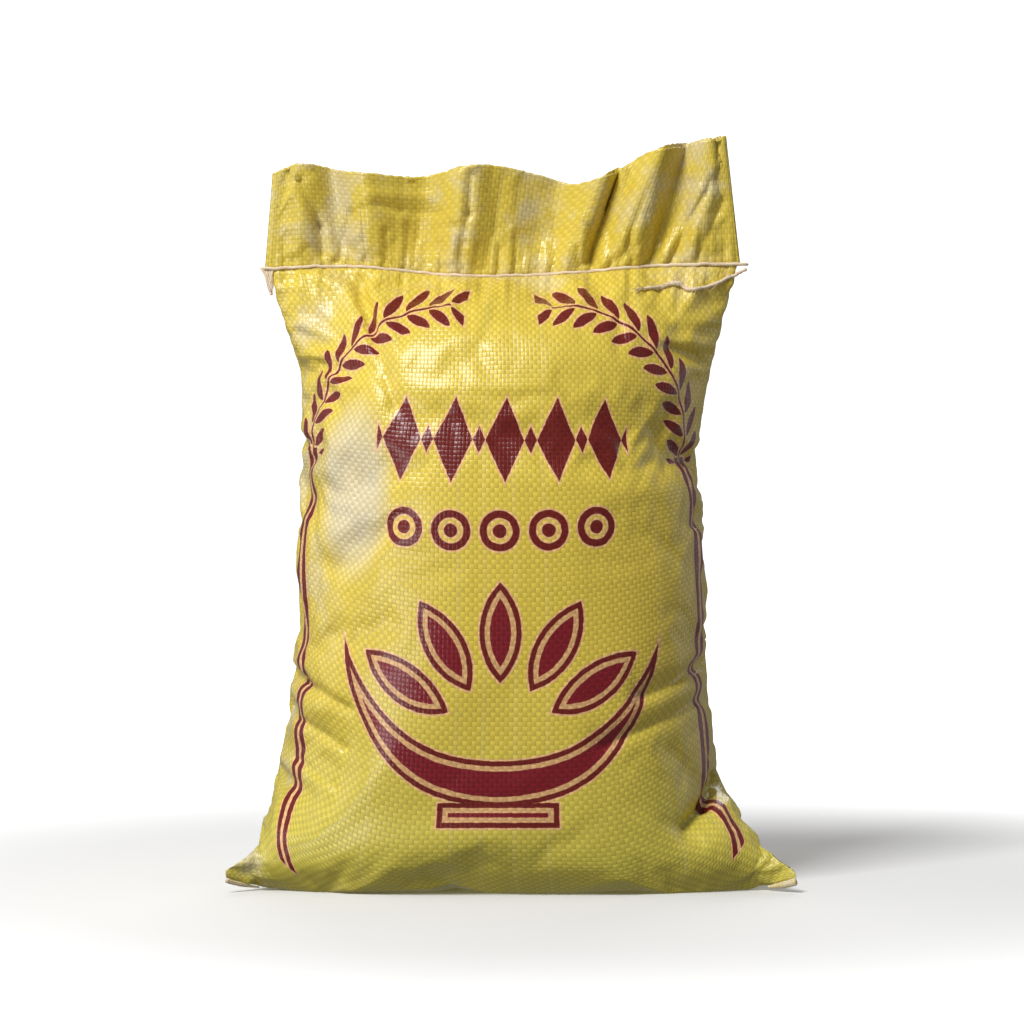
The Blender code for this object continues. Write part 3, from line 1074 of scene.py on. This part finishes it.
def tape_tone(warp, weft, warp_on_top, up):
    """Every tape has its own brightness at random, the warp's most; and where the warp lies on top the
    cloth is painted lighter, a painted sheen, less of it above the seam.
    """
    warp_tone = chance(warp.whole(), 11.5)
    weft_tone = chance(weft.whole(), 47.5)
    streak = noise(vector_of(warp.whole() * 7.3, up * 9.0), 1.0, 1.0)
    own = mixed(warp_on_top, weft_tone * 0.05, warp_tone * 0.09 + streak * 0.08)
    above_seam = up.between(FLAT_HEIGHT - 0.010, FLAT_HEIGHT + 0.006, 1.0, 0.4)
    # Painted sheen: the cells where the warp lies on top are lighter.
    return own + warp_on_top * above_seam * 0.14


def painted_sheen_share(x, up, mottle):
    """How much painted sheen shows: a painted highlight in patches on the flap and down the left, and in
    one large patch of painted gloss.
    """
    # Where the painted highlight goes: the flap above the seam and the left side.
    loose = up.between(FLAT_HEIGHT - 0.040, FLAT_HEIGHT + 0.008, 0.0, 1.0)
    loose = loose.high(x.between(-0.160, -0.070, 1.0, 0.0))
    beside = (x - PAINTED_GLOSS_PATCH[0]) / PAINTED_GLOSS_PATCH[2]
    above = (up - PAINTED_GLOSS_PATCH[1]) / PAINTED_GLOSS_PATCH[3]
    # The large patch is painted gloss: a whitish highlight painted on the cloth at the left.
    patch = (beside * beside + above * above).between(0.2, 1.4, 1.0, 0.0)
    return (mottle.between(0.47, 0.68) * loose * 0.60).high(patch * (mottle * 0.7 + 0.45))


def stitch_gathers(across, up):
    """Fine upright gathers close to the closing seam."""
    near_seam = (up - FLAT_HEIGHT).size().between(0.004, 0.026, 1.0, 0.0)
    return noise(vector_of(across * 230.0, up * 14.0), 1.0, 1.0) * near_seam


def woven_cloth(colours):
    """Glossy woven tape with the print, after its place on the flat cloth."""
    material, shader = new_material("woven_tape")
    across, up = on_own_map()
    room = in_room()
    height = separate(room)[2]
    x = ((across / FLAT_WIDTH).part() - 0.5) * FLAT_WIDTH
    warp = across / colours.warp_pitch
    weft = up / colours.weft_pitch
    warp_on_top, relief = woven(warp, weft)
    cloudy = noise(room, 9.0, 3.0)

    # Painted shade: the cloth is painted darker and greener towards the floor.
    paint = painted(height.between(0.0, 0.16, 0.55, 0.0), colours.cloth, colours.cloth_low_shade)
    pale_tape = chance(warp.whole(), 83.5).between(0.90, 0.93)
    paint = painted(pale_tape * 0.10, paint, colours.pale_tape)
    # Painted highlight: the whitish sheen of the glossy tape, painted into its colour on the flap and at
    # the left.
    painted_sheen = painted_sheen_share(x, up, noise(room, 24.0, 4.0, 0.6))
    paint = painted(painted_sheen, paint, colours.painted_sheen)
    paint = printed(paint, x, up, colours)
    # relief * 0.06 is painted shade: darker where each tape dips under the next one and at its edges.
    tone = tape_tone(warp, weft, warp_on_top, up) + cloudy * 0.08 + 0.78 + relief * 0.06
    feed(shader.inputs["Base Color"], toned(paint, tone))

    feed(shader.inputs["Roughness"], cloudy * 0.12 + 0.23 + relief * -0.05)
    feed(shader.inputs["Specular IOR Level"], 0.4)
    feed(shader.inputs["Coat Weight"], 0.15)
    feed(shader.inputs["Coat Roughness"], 0.20)
    tape_lift = chance(warp.whole(), 29.5) * 0.35
    bump(shader, relief + tape_lift * warp_on_top + stitch_gathers(across, up) * 3.4, 0.00018)
    return material


def twisted_yarn(colours):
    """Matte cotton-like thread: fine fibres that wind round it."""
    material, shader = new_material("sewing_thread")
    around, along = on_own_map()
    fibre = noise(vector_of(around * 9.0 + along * 900.0, along * 260.0), 1.0, 2.0)
    fleck = noise(vector_of(around * 2.0, along * 120.0), 1.0, 2.0)
    paint = painted(fleck.between(0.35, 0.70), colours.thread, colours.thread_shade)
    feed(shader.inputs["Base Color"], toned(paint, fibre * 0.30 + 0.82))
    feed(shader.inputs["Roughness"], 0.82)
    feed(shader.inputs["Sheen Weight"], 0.25)
    bump(shader, fibre, 0.00012)
    return material


def bare_cloth(colours):
    """The pale inner side of the cloth, which shows where the hem is rolled."""
    material, shader = new_material("cloth_inside")
    around, along = on_own_map()
    level_tapes = ((along / 0.0024).part() * math.pi).sine() * 0.5
    tapes = level_tapes + ((around * 5).part() * math.pi).sine() * 0.5
    fleck = noise(vector_of(around * 3.0, along * 240.0), 1.0, 2.0)
    paint = painted(fleck.between(0.45, 0.75), colours.hem, colours.cloth)
    # Painted shade: darker between the tapes, where each tape's edge dips.
    feed(shader.inputs["Base Color"], toned(paint, tapes * 0.18 + 0.82))
    feed(shader.inputs["Roughness"], 0.5)
    bump(shader, tapes, 0.0002)
    return material


def plain_sweep(colours):
    """White paper with the faintest mottle, which glows more the further it is from the sack."""
    material, shader = new_material("studio_sweep")
    room = in_room()
    aside, depth, _up = separate(room)
    paint = painted(noise(room, 3.0), colours.floor, colours.floor_shade)
    feed(shader.inputs["Base Color"], paint)
    glow = (aside * aside + depth * depth).root().between(0.30, 1.00, 0.0, 1.0)
    feed(shader.inputs["Emission Strength"], glow)
    feed(shader.inputs["Emission Color"], (1, 1, 1, 1))
    feed(shader.inputs["Roughness"], 0.9)
    return material


FINISHES = {
    "woven_tape": woven_cloth,
    "sewing_thread": twisted_yarn,
    "cloth_inside": bare_cloth,
    "studio_sweep": plain_sweep,
}


def finish(name):
    """A finish by name, made the first time that it is asked for."""
    return bpy.data.materials.get(name) or FINISHES[name](bpy.context.scene.sack_colours)


# What a user would change

def colour_setting(name, description, default):
    return bpy.props.FloatVectorProperty(
        name=name, description=description, subtype="COLOR", size=3, min=0, max=1, default=default)


def length_setting(name, description, default):
    return bpy.props.FloatProperty(
        name=name, description=description, unit="LENGTH", min=0, default=default, precision=5)


class SackClothSettings(bpy.types.PropertyGroup):
    """How the cloth falls into wrinkles."""

    most_slack: bpy.props.FloatProperty(
        name="Slack", description="Spare cloth at the sides and shoulders, as a share",
        min=0, max=0.3, default=0.12)
    pressure: bpy.props.FloatProperty(
        name="Filling Pressure", description="How hard the rice presses the cloth out",
        min=0, max=40, default=12)
    furthest_move: length_setting("Furthest Move", "How far wrinkles may take the cloth", 0.013)


class SackColourSettings(bpy.types.PropertyGroup):
    """How wide the tapes are, and the colours of cloth, ink, threads and floor."""

    warp_pitch: length_setting("Warp Pitch", "Distance between upright tapes", 0.00265)
    weft_pitch: length_setting("Weft Pitch", "Distance between level tapes", 0.00285)
    cloth: colour_setting("Cloth", "Yellow tape", (0.74, 0.560, 0.072))
    # Painted shade near the floor: darker, greener cloth low down.
    cloth_low_shade: colour_setting("Cloth Near The Floor", "Greener tape low down", (0.50, 0.475, 0.075))
    pale_tape: colour_setting("Pale Tape", "Single tapes that came out lighter", (0.85, 0.72, 0.35))
    # Colour of the painted sheen: a whitish highlight painted into the cloth on the flap and at the
    # left.
    painted_sheen: colour_setting("Film", "Whitish film where loose cloth was creased", (0.70, 0.62, 0.45))
    halo: colour_setting("Halo", "Thin ink that runs out round each shape", (0.90, 0.50, 0.26))
    ink: colour_setting("Ink", "Dark red of lines and small shapes", (0.150, 0.005, 0.004))
    inline: colour_setting("Inline", "Light line inside the large shapes", (0.76, 0.44, 0.19))
    fill: colour_setting("Fill", "Red inside the large shapes", (0.200, 0.003, 0.012))
    thread: colour_setting("Thread", "Sewing thread", (0.80, 0.68, 0.48))
    thread_shade: colour_setting("Thread Shade", "Dustier parts of the thread", (0.70, 0.50, 0.34))
    hem: colour_setting("Hem", "Pale inner side of the cloth at the rolled hem", (0.78, 0.66, 0.44))
    floor: colour_setting("Floor", "Studio floor", (0.84, 0.84, 0.84))
    floor_shade: colour_setting("Floor Mottle", "Faint mottle of the floor", (0.82, 0.82, 0.82))


# Pieces

class SACK_OT_body(bpy.types.Operator):
    """Add the filled body from the hem to the closing seam"""

    bl_idname = "sack.body"
    bl_label = "Add Body"

    def execute(self, context):
        body = self.sewn_shut_tube()
        self.settle(body, context.scene.sack_cloth)
        smooth_twice_as_fine(body)
        self.press_sharp_creases(body)
        self.gather_at_seam(body)
        self.rest_on_floor(body)
        finish_piece(body, finish("woven_tape"), "cloth", "sack")
        return {"FINISHED"}

    def sewn_shut_tube(self):
        points = body_points()
        across = np.linspace(0, 2 * FLAT_WIDTH, points.shape[1])
        up = np.linspace(0, FLAT_HEIGHT, points.shape[0])
        flat = np.stack(np.meshgrid(across, up), axis=2)
        body = laid_sheet("sack_body", points, flat)
        weld(body)
        return body

    def settle(self, body, cloth):
        """The front is taut over the rice; sides, shoulders and lower corners are slack."""
        place = place_on_flat(body)
        across = np.abs(2 * ((place[:, 0] / FLAT_WIDTH) % 1.0) - 1)
        share = place[:, 1] / FLAT_HEIGHT
        at_side = across ** 3
        at_top = 0.8 * np.clip((share - 0.82) / 0.18, 0, 1)
        at_foot = 0.3 * np.clip((0.30 - share) / 0.30, 0, 1)
        slack = 0.10 + 0.90 * np.maximum(at_side, np.maximum(at_top, at_foot))
        at_edge = ease((across - 0.86) / 0.12)
        hold = 0.1 + 0.2 * at_edge + 0.6 * at_edge * ease((share - 0.72) / 0.10)
        hold[(share > 0.985) | (share < 0.004)] = 1.0
        let_cloth_settle(
            body, hold, slack, cloth.most_slack, cloth.pressure, frames=16, furthest=cloth.furthest_move)

    def press_sharp_creases(self, body):
        """Only the cloth that faces forward takes them."""
        place, normal = corners(body), outward(body)
        depth = crease_depth(place, SHARP_CREASES) * ease((-normal[:, 1] - 0.05) / 0.25)
        move_corners(body, place - normal * depth[:, None])

    def gather_at_seam(self, body):
        """Small upright gathers run down from the stitches."""
        place = corners(body)
        x, z = place[:, 0], place[:, 2]
        below = seam_height(x) - z
        strength = ease(below / 0.003) * (1 - ease((below - 0.006) / 0.022))
        depth = 0.0010 * waves(x, GATHER_LENGTHS, 5) * strength
        place += outward(body) * depth[:, None]
        move_corners(body, place)

    def rest_on_floor(self, body):
        place = corners(body)
        place[:, 2] = np.maximum(place[:, 2], 0)
        move_corners(body, place)


class SACK_OT_flap(bpy.types.Operator):
    """Add the loose flap of two layers above the closing seam"""

    bl_idname = "sack.flap"
    bl_label = "Add Flap"

    def execute(self, context):
        middle = self.crimped(self.middle_sheet())
        points, flat = self.two_layers(middle)
        flap = laid_sheet("mouth_flap", points, flat)
        weld(flap)
        finish_piece(flap, finish("woven_tape"), "cloth", "sack")
        return {"FINISHED"}

    def middle_sheet(self):
        """The sheet that lies between the layers, with its folds and wrinkles."""
        seam_x = np.linspace(FLAP_SIDES[0][0], FLAP_SIDES[1][0], FLAP_COLUMNS + 1)
        mouth_x = mouth_place(seam_x)
        foot = seam_height(seam_x) - SEAM_OVERLAP
        top = mouth_height(mouth_x)
        share = np.linspace(0, 1, FLAP_ROWS + 1)[:, None]
        z = foot + (top - foot) * share
        x = seam_x + (mouth_x - seam_x) * share
        y = -fold_offset(seam_x) * fold_strength(z - foot)
        points = np.stack([x, y, z], axis=2)
        return self.settled(points, share)

    def settled(self, points, share):
        """The sheet hangs by the seam, and its sides stay nearly as they are."""
        size = points.shape[:2]
        sheet = laid_sheet("flap_middle", points, np.zeros((*size, 2)))
        height = np.broadcast_to(share, size).reshape(-1)
        column = np.broadcast_to(np.linspace(0, 1, FLAP_COLUMNS + 1), size).reshape(-1)
        at_edge = 1 - ease(np.minimum(column, 1 - column) / 0.05)
        hold = np.where(height < 0.05, 1.0, 0.12 + 0.5 * at_edge)
        slack = ease(height / 0.3) * (1 - at_edge)
        let_cloth_settle(sheet, hold, slack, 0.025, pressure=0, frames=12, furthest=0.005)
        settled = corners(sheet).reshape(points.shape)
        bpy.data.objects.remove(sheet, do_unlink=True)
        return settled

    def crimped(self, coarse):
        """The sheet made finer, with the narrow folds and gathers that the stitches pull in."""
        points = twice_as_fine(coarse)
        rows, columns = points.shape[:2]
        seam_x = np.linspace(FLAP_SIDES[0][0], FLAP_SIDES[1][0], columns)
        share = np.linspace(0, 1, rows)[:, None]
        gathers = 0.0009 * waves(seam_x, GATHER_LENGTHS, 5)
        gathers = gathers * ease(share / 0.04) * (1 - ease(share / 0.38))
        points[:, :, 1] -= narrow_folds(seam_x, share) + gathers
        pressed = crease_depth(points, FLAP_CREASES) + crease_depth(points, self.short_gathers())
        points[:, :, 1] += pressed * ease(share / 0.06)
        return points

    def short_gathers(self):
        """Creases that rise from the stitches, by turns pressed in and pushed out."""
        chance_of = np.random.default_rng(17)
        start, end = GATHER_SPAN
        gathers = []
        for number in range(GATHER_COUNT):
            x = start + (end - start) * (number + chance_of.random()) / GATHER_COUNT
            foot = float(seam_height(x)[0]) + 0.003
            top = foot + GATHER_HEIGHT * (0.25 + 0.75 * chance_of.random())
            depth = GATHER_DEPTH * (0.5 + 0.5 * chance_of.random()) * (1 if number % 2 else -1)
            top_x = x + 0.004 * (chance_of.random() - 0.4)
            gathers.append((x, foot, top_x, top, GATHER_HALF_WIDTH, depth))
        return gathers

    def two_layers(self, middle):
        """Outer faces of both layers, their rim, and a little way down inside the mouth."""
        share = np.linspace(0, 1, middle.shape[0])[:, None]
        column = np.linspace(0, 1, middle.shape[1])
        apart = sheet_normals(middle) * self.gap(share, column)[:, :, None]
        front, back = middle + apart, middle - apart
        self.fray(front, back, share, column)
        front[:, 0] = back[:, 0] = (front[:, 0] + back[:, 0]) / 2
        front[:, -1] = back[:, -1] = (front[:, -1] + back[:, -1]) / 2
        front, back = self.lined(front, back, middle)
        points = np.concatenate([front, back[:, -2::-1]], axis=1)
        inside = [FLAP_HEIGHT, FLAP_HEIGHT * 0.9, FLAP_HEIGHT * 0.7]
        up = np.concatenate([share[:, 0] * FLAP_HEIGHT, inside])
        across = np.linspace(0, 2 * FLAT_WIDTH, points.shape[1])
        return points, np.stack(np.meshgrid(across, FLAT_HEIGHT + up), axis=2)

    def gap(self, share, column):
        """Half the distance between the layers, which stand apart a little at the mouth."""
        opening = 0.0006 * (1 + waves(column, (0.33, 0.19), 8)) * share ** 2
        return (LAYER * ease(share / 0.06) + opening) * ease(np.minimum(column, 1 - column) / 0.012)

    def fray(self, front, back, share, column):
        """Both rims are cut unevenly, and the back one shows above the front one."""
        near_rim = ease((share - 0.75) / 0.25)
        rise = BACK_LAYER_RISE * bell(column - 0.83, 0.12)
        rise = rise + 0.0005 * waves(column, (0.0137, 0.0191), 33)
        front[:, :, 2] += near_rim * (0.0005 * waves(column, (0.0127, 0.0173, 0.0331), 21))
        back[:, :, 2] += near_rim * rise

    def lined(self, front, back, middle):
        """Both layers with three rows more: over the rim and down their inner side."""
        lip = (back[-1] - front[-1]) / 2
        length = np.maximum(np.linalg.norm(lip, axis=1, keepdims=True), 1e-9)
        inward = lip / length * np.minimum(CLOTH_THICKNESS, length * 0.8)
        inner_front = [front[-1] + inward, front[-6] + inward * 0.5, middle[-12]]
        inner_back = [back[-1] - inward, back[-6] - inward * 0.5, middle[-12]]
        return np.concatenate([front, inner_front]), np.concatenate([back, inner_back])


class SACK_OT_closing_thread(bpy.types.Operator):
    """Add the thread of the closing seam, round both faces"""

    bl_idname = "sack.closing_thread"
    bl_label = "Add Closing Thread"

    def execute(self, context):
        thread = twisted_thread("closing_seam_thread", self.path(), THREAD_RADIUS, closed=True)
        finish_piece(thread, finish("sewing_thread"), "thread", "closing_thread")
        return {"FINISHED"}

    def path(self):
        offset = LAYER + THREAD_RADIUS * 0.7
        x = np.linspace(FLAP_SIDES[0][0], FLAP_SIDES[1][0], 420)
        z = seam_height(x) + 0.0004 * waves(x, (0.031, 0.0173, 0.0097), 2)
        wave = -fold_offset(x) * FOLD_SHARE_AT_SEAM
        front = np.column_stack([x, wave - offset, z])
        back = np.column_stack([x, wave + offset, seam_height(x)])[::-1]
        right = self.turn(front[-1], back[0], 0.0041)
        left = self.turn(back[-1], front[0], -0.0019)
        return np.vstack([front, right, back, left])

    def turn(self, start, end, out):
        """Half a loop round the end of the seam, from one face to the other."""
        angles = np.linspace(0, math.pi, 14)[1:-1, None]
        middle, arm = (start + end) / 2, (start - end) / 2
        return middle + arm * np.cos(angles) + np.array([out, 0, 0]) * np.sin(angles)


class SACK_OT_thread_tail(bpy.types.Operator):
    """Add the loose tail of the thread at the right end, frayed at its tip"""

    bl_idname = "sack.thread_tail"
    bl_label = "Add Thread Tail"

    def execute(self, context):
        path = self.path()
        share = np.linspace(0, 1, len(path))
        swell = 0.86 + 0.10 * waves(share, (0.093, 0.041), 12)
        swell += 0.42 * bell(share - 0.68, 0.07) - 0.45 * ease((share - 0.90) / 0.10)
        tail = twisted_thread("loose_thread_tail", path, TAIL_RADIUS, swell=swell)
        finish_piece(tail, finish("sewing_thread"), "thread", "thread_tail")
        fuzz = self.fuzz(path)
        finish_piece(fuzz, finish("sewing_thread"), "thread")
        [tuple(point) for point in path[::3]] + [tuple(path[-1])]
        return {"FINISHED"}

    def path(self):
        """The route laid on the cloth, bridging the dips that it would hang over."""
        tree = surface_tree("sack_body", "mouth_flap")
        route = np.array(TAIL_ROUTE)
        travelled = travelled_along(route)
        places = through(np.column_stack([travelled, route]), np.linspace(0, travelled[-1], 150))
        laid = np.array([on_front(tree, x, z, TAIL_RADIUS * 0.9) for x, z in places])
        for _ in range(30):
            laid[1:-1, 1] = np.minimum(laid[1:-1, 1], (laid[:-2, 1] + laid[2:, 1]) / 2)
        return smooth_line(laid, 3)

    def fuzz(self, path):
        """Loose fibres that stand off the tail, most of them at its bend and its tip."""
        chance_of = np.random.default_rng(71)
        fibres = [self.fibre(path, number, chance_of) for number in range(FUZZ_COUNT)]
        fibres[0].name = "tail_fibres"
        return joined(fibres)

    def fibre(self, path, number, chance_of):
        """One fibre, which leaves along the tail and leans away towards the front."""
        centre, spread = FUZZ_PLACES[number % len(FUZZ_PLACES)]
        share = float(np.clip(centre + spread * (chance_of.random() - 0.5), 0.04, 0.99))
        at = int(share * (len(path) - 1))
        run = path[min(at + 3, len(path) - 1)] - path[max(at - 3, 0)]
        run /= np.linalg.norm(run)
        lean = np.array([
            chance_of.normal(0, 0.25),
            -0.15 - 0.25 * chance_of.random(),
            chance_of.normal(0, 0.45),
        ])
        long = 0.0045 + 0.0060 * chance_of.random()
        t = np.linspace(0, 1, 9)[:, None]
        points = path[at] + long * (run * t + lean * t ** 1.5)
        points[:, 1] = np.minimum(points[:, 1], path[at, 1] + 0.0003)
        name = f"tail_fibre_{number}"
        return twisted_thread(name, points, FUZZ_RADIUS, twist=0.003, swell=1 - 0.6 * t[:, 0])


class SACK_OT_thread_ends(bpy.types.Operator):
    """Add the fan of cut threads at the left end of the seam"""

    bl_idname = "sack.thread_ends"
    bl_label = "Add Left Thread Ends"

    def execute(self, context):
        tree = surface_tree("sack_body", "mouth_flap")
        tassel = joined([self.strand(tree, number) for number in range(STRAND_COUNT)])
        finish_piece(tassel, finish("sewing_thread"), "thread", "thread_end_left")
        return {"FINISHED"}

    def strand(self, tree, number):
        """One strand: they start side by side along the seam and run together below."""
        chance_of = np.random.default_rng(40 + number)
        beside = number / (STRAND_COUNT - 1)
        share = np.linspace(0, 1, 24)
        start_x = TASSEL_TOP[0] + TASSEL_WIDTH * beside
        end_x = TASSEL_TIP[0] + 0.0012 * (beside - 0.5)
        end_z = TASSEL_TIP[1] + 0.0060 * (number % 2) * chance_of.random()
        x = start_x + (end_x - start_x) * share ** 0.8 + 0.0003 * np.sin(7 * share + number)
        z = TASSEL_TOP[1] + (end_z - TASSEL_TOP[1]) * share
        points = np.array([on_front(tree, px, pz, 0.0007) for px, pz in zip(x, z)])
        points[:, 1] = np.minimum(points[:, 1], points[0, 1] + 0.001)
        points = smooth_line(points, 4)
        points[:, 1] -= 0.0006 * (number % 3) * share
        name = "left_thread_ends" if number == 0 else f"strand_{number}"
        return twisted_thread(name, points, STRAND_RADIUS, twist=0.004, swell=1 - 0.35 * share)


class SACK_OT_hem_ends(bpy.types.Operator):
    """Add the rolled hem's ends that show under both ears"""

    bl_idname = "sack.hem_ends"
    bl_label = "Add Hem Ends"

    def execute(self, context):
        left = self.roll(-1, "hem_end_left", HEM_ROLL_LEFT)
        finish_piece(left, finish("cloth_inside"), "thread", "hem_thread_left")
        right = self.roll(1, "hem_end_right", HEM_ROLL_RIGHT)
        finish_piece(right, finish("cloth_inside"), "thread", "hem_thread_right")
        return {"FINISHED"}

    def roll(self, side, name, size):
        """A flat roll of cloth that follows the hem from the tip inwards and thins out there."""
        length, half_height = size
        ring = body_ring(0.0, -1)
        tip = ring[-1, 0] if side > 0 else ring[0, 0]
        share = np.linspace(0, 1, 40)
        x = tip - side * (0.0012 + length * share)
        y = np.interp(x, ring[:, 0], ring[:, 1]) + LAYER
        z = np.interp(x, ring[:, 0], ring[:, 2]) - half_height * (0.80 - 0.30 * share)
        swell = (1 - 0.55 * ease((share - 0.35) / 0.65)) * (1 + 0.05 * waves(share, (0.31, 0.17), 5))
        path = np.column_stack([x, y, np.maximum(z, half_height * swell)])
        return twisted_thread(
            name, path, half_height, plies=1, twist=1.0, swell=swell, flat=HEM_ROLL_FLATNESS)


class SACK_OT_stage(bpy.types.Operator):
    """Add the floor, the lights and the camera"""

    bl_idname = "sack.stage"
    bl_label = "Add Stage"

    def execute(self, context):
        self.sweep()
        for lamp in LAMPS:
            self.light(*lamp)
        self.world(context)
        context.scene.view_settings.view_transform = "Standard"
        self.camera(context)
        return {"FINISHED"}

    def world(self, context):
        """It lights the sack faintly, and is seen as white past the floor's edge."""
        world = bpy.data.worlds.new("studio")
        world.use_nodes = True
        Worked.tree = world.node_tree
        lighting = Worked.tree.nodes["Background"]
        seen = Worked.tree.nodes.new("ShaderNodeBackground")
        for background, strength in ((lighting, WORLD_STRENGTH), (seen, 1.0)):
            feed(background.inputs["Color"], (1, 1, 1, 1))
            feed(background.inputs["Strength"], strength)
        ray = Worked.tree.nodes.new("ShaderNodeLightPath")
        either = Worked.tree.nodes.new("ShaderNodeMixShader")
        feed(either.inputs[0], ray.outputs["Is Camera Ray"])
        feed(either.inputs[1], lighting.outputs[0])
        feed(either.inputs[2], seen.outputs[0])
        feed(Worked.tree.nodes["World Output"].inputs["Surface"], either.outputs[0])
        context.scene.world = world

    def sweep(self):
        """A white sheet that runs back over the floor and curves up behind."""
        run = [(y, 0.0) for y in np.linspace(-7, 3, 21)]
        quarter = np.linspace(0, math.pi / 2, 13)[1:]
        curve = [(3 + 2 * math.sin(angle), 2 - 2 * math.cos(angle)) for angle in quarter]
        rise = [(5.0, z) for z in np.linspace(2, 7, 11)[1:]]
        profile = np.array(run + curve + rise)
        x = np.linspace(-8, 8, 17)
        points = np.array([[(px, y, z) for px in x] for y, z in profile])
        sweep = laid_sheet("studio_sweep", points, points[:, :, :2] / 16)
        sweep.data.materials.append(finish("studio_sweep"))
        shade_smooth(sweep)
        sweep.visible_diffuse = sweep.visible_glossy = False   # so its white doesn't wash the cloth out

    def placed(self, name, data, place):
        holder = bpy.data.objects.new(name, data)
        bpy.context.collection.objects.link(holder)
        holder.location = place
        return holder

    def light(self, name, place, power, size):
        """A soft lamp that faces the sack."""
        lamp = bpy.data.lights.new(name, "AREA")
        lamp.shape = "RECTANGLE"
        lamp.energy = power
        lamp.size, lamp.size_y = size
        aim = Vector(LAMP_AIM) - Vector(place)
        self.placed(name, lamp, place).rotation_euler = aim.to_track_quat("-Z", "Y").to_euler()

    def camera(self, context):
        lens = bpy.data.cameras.new("camera")
        lens.lens = CAMERA_LENS
        lens.sensor_width = 36
        lens.clip_end = 60
        height = CAMERA_AIM[1] + CAMERA_AWAY * math.tan(math.radians(CAMERA_DOWN))
        camera = self.placed("camera", lens, (CAMERA_AIM[0], -CAMERA_AWAY, height))
        camera.rotation_euler = (math.radians(90 - CAMERA_DOWN), 0, 0)
        context.scene.camera = camera


class SACK_PT_panel(bpy.types.Panel):
    """The sack's pieces and settings."""

    bl_idname = "SACK_PT_panel"
    bl_label = "Rice Sack"
    bl_space_type = "VIEW_3D"
    bl_region_type = "UI"
    bl_category = "Rice Sack"

    def draw(self, context):
        layout = self.layout
        for maker in MAKERS:
            layout.operator(maker.bl_idname)
        for group in (context.scene.sack_cloth, context.scene.sack_colours):
            box = layout.box()
            for setting in group.bl_rna.properties.keys():
                if setting not in ("rna_type", "name"):
                    box.prop(group, setting)


SETTINGS = (SackClothSettings, SackColourSettings)
MAKERS = (
    SACK_OT_stage,
    SACK_OT_body,
    SACK_OT_flap,
    SACK_OT_thread_tail,
    SACK_OT_closing_thread,
    SACK_OT_thread_ends,
    SACK_OT_hem_ends,
)
CLASSES = (*SETTINGS, *MAKERS, SACK_PT_panel)


def register():
    for item in CLASSES:
        bpy.utils.register_class(item)
    bpy.types.Scene.sack_cloth = bpy.props.PointerProperty(type=SackClothSettings)
    bpy.types.Scene.sack_colours = bpy.props.PointerProperty(type=SackColourSettings)


def unregister():
    del bpy.types.Scene.sack_colours
    del bpy.types.Scene.sack_cloth
    for item in reversed(CLASSES):
        bpy.utils.unregister_class(item)


def main():
    register()
    bpy.ops.sack.stage()
    bpy.ops.sack.body()
    bpy.ops.sack.flap()
    bpy.ops.sack.thread_tail()
    bpy.ops.sack.closing_thread()
    bpy.ops.sack.thread_ends()
    bpy.ops.sack.hem_ends()


if __name__ == "__main__":
    main()
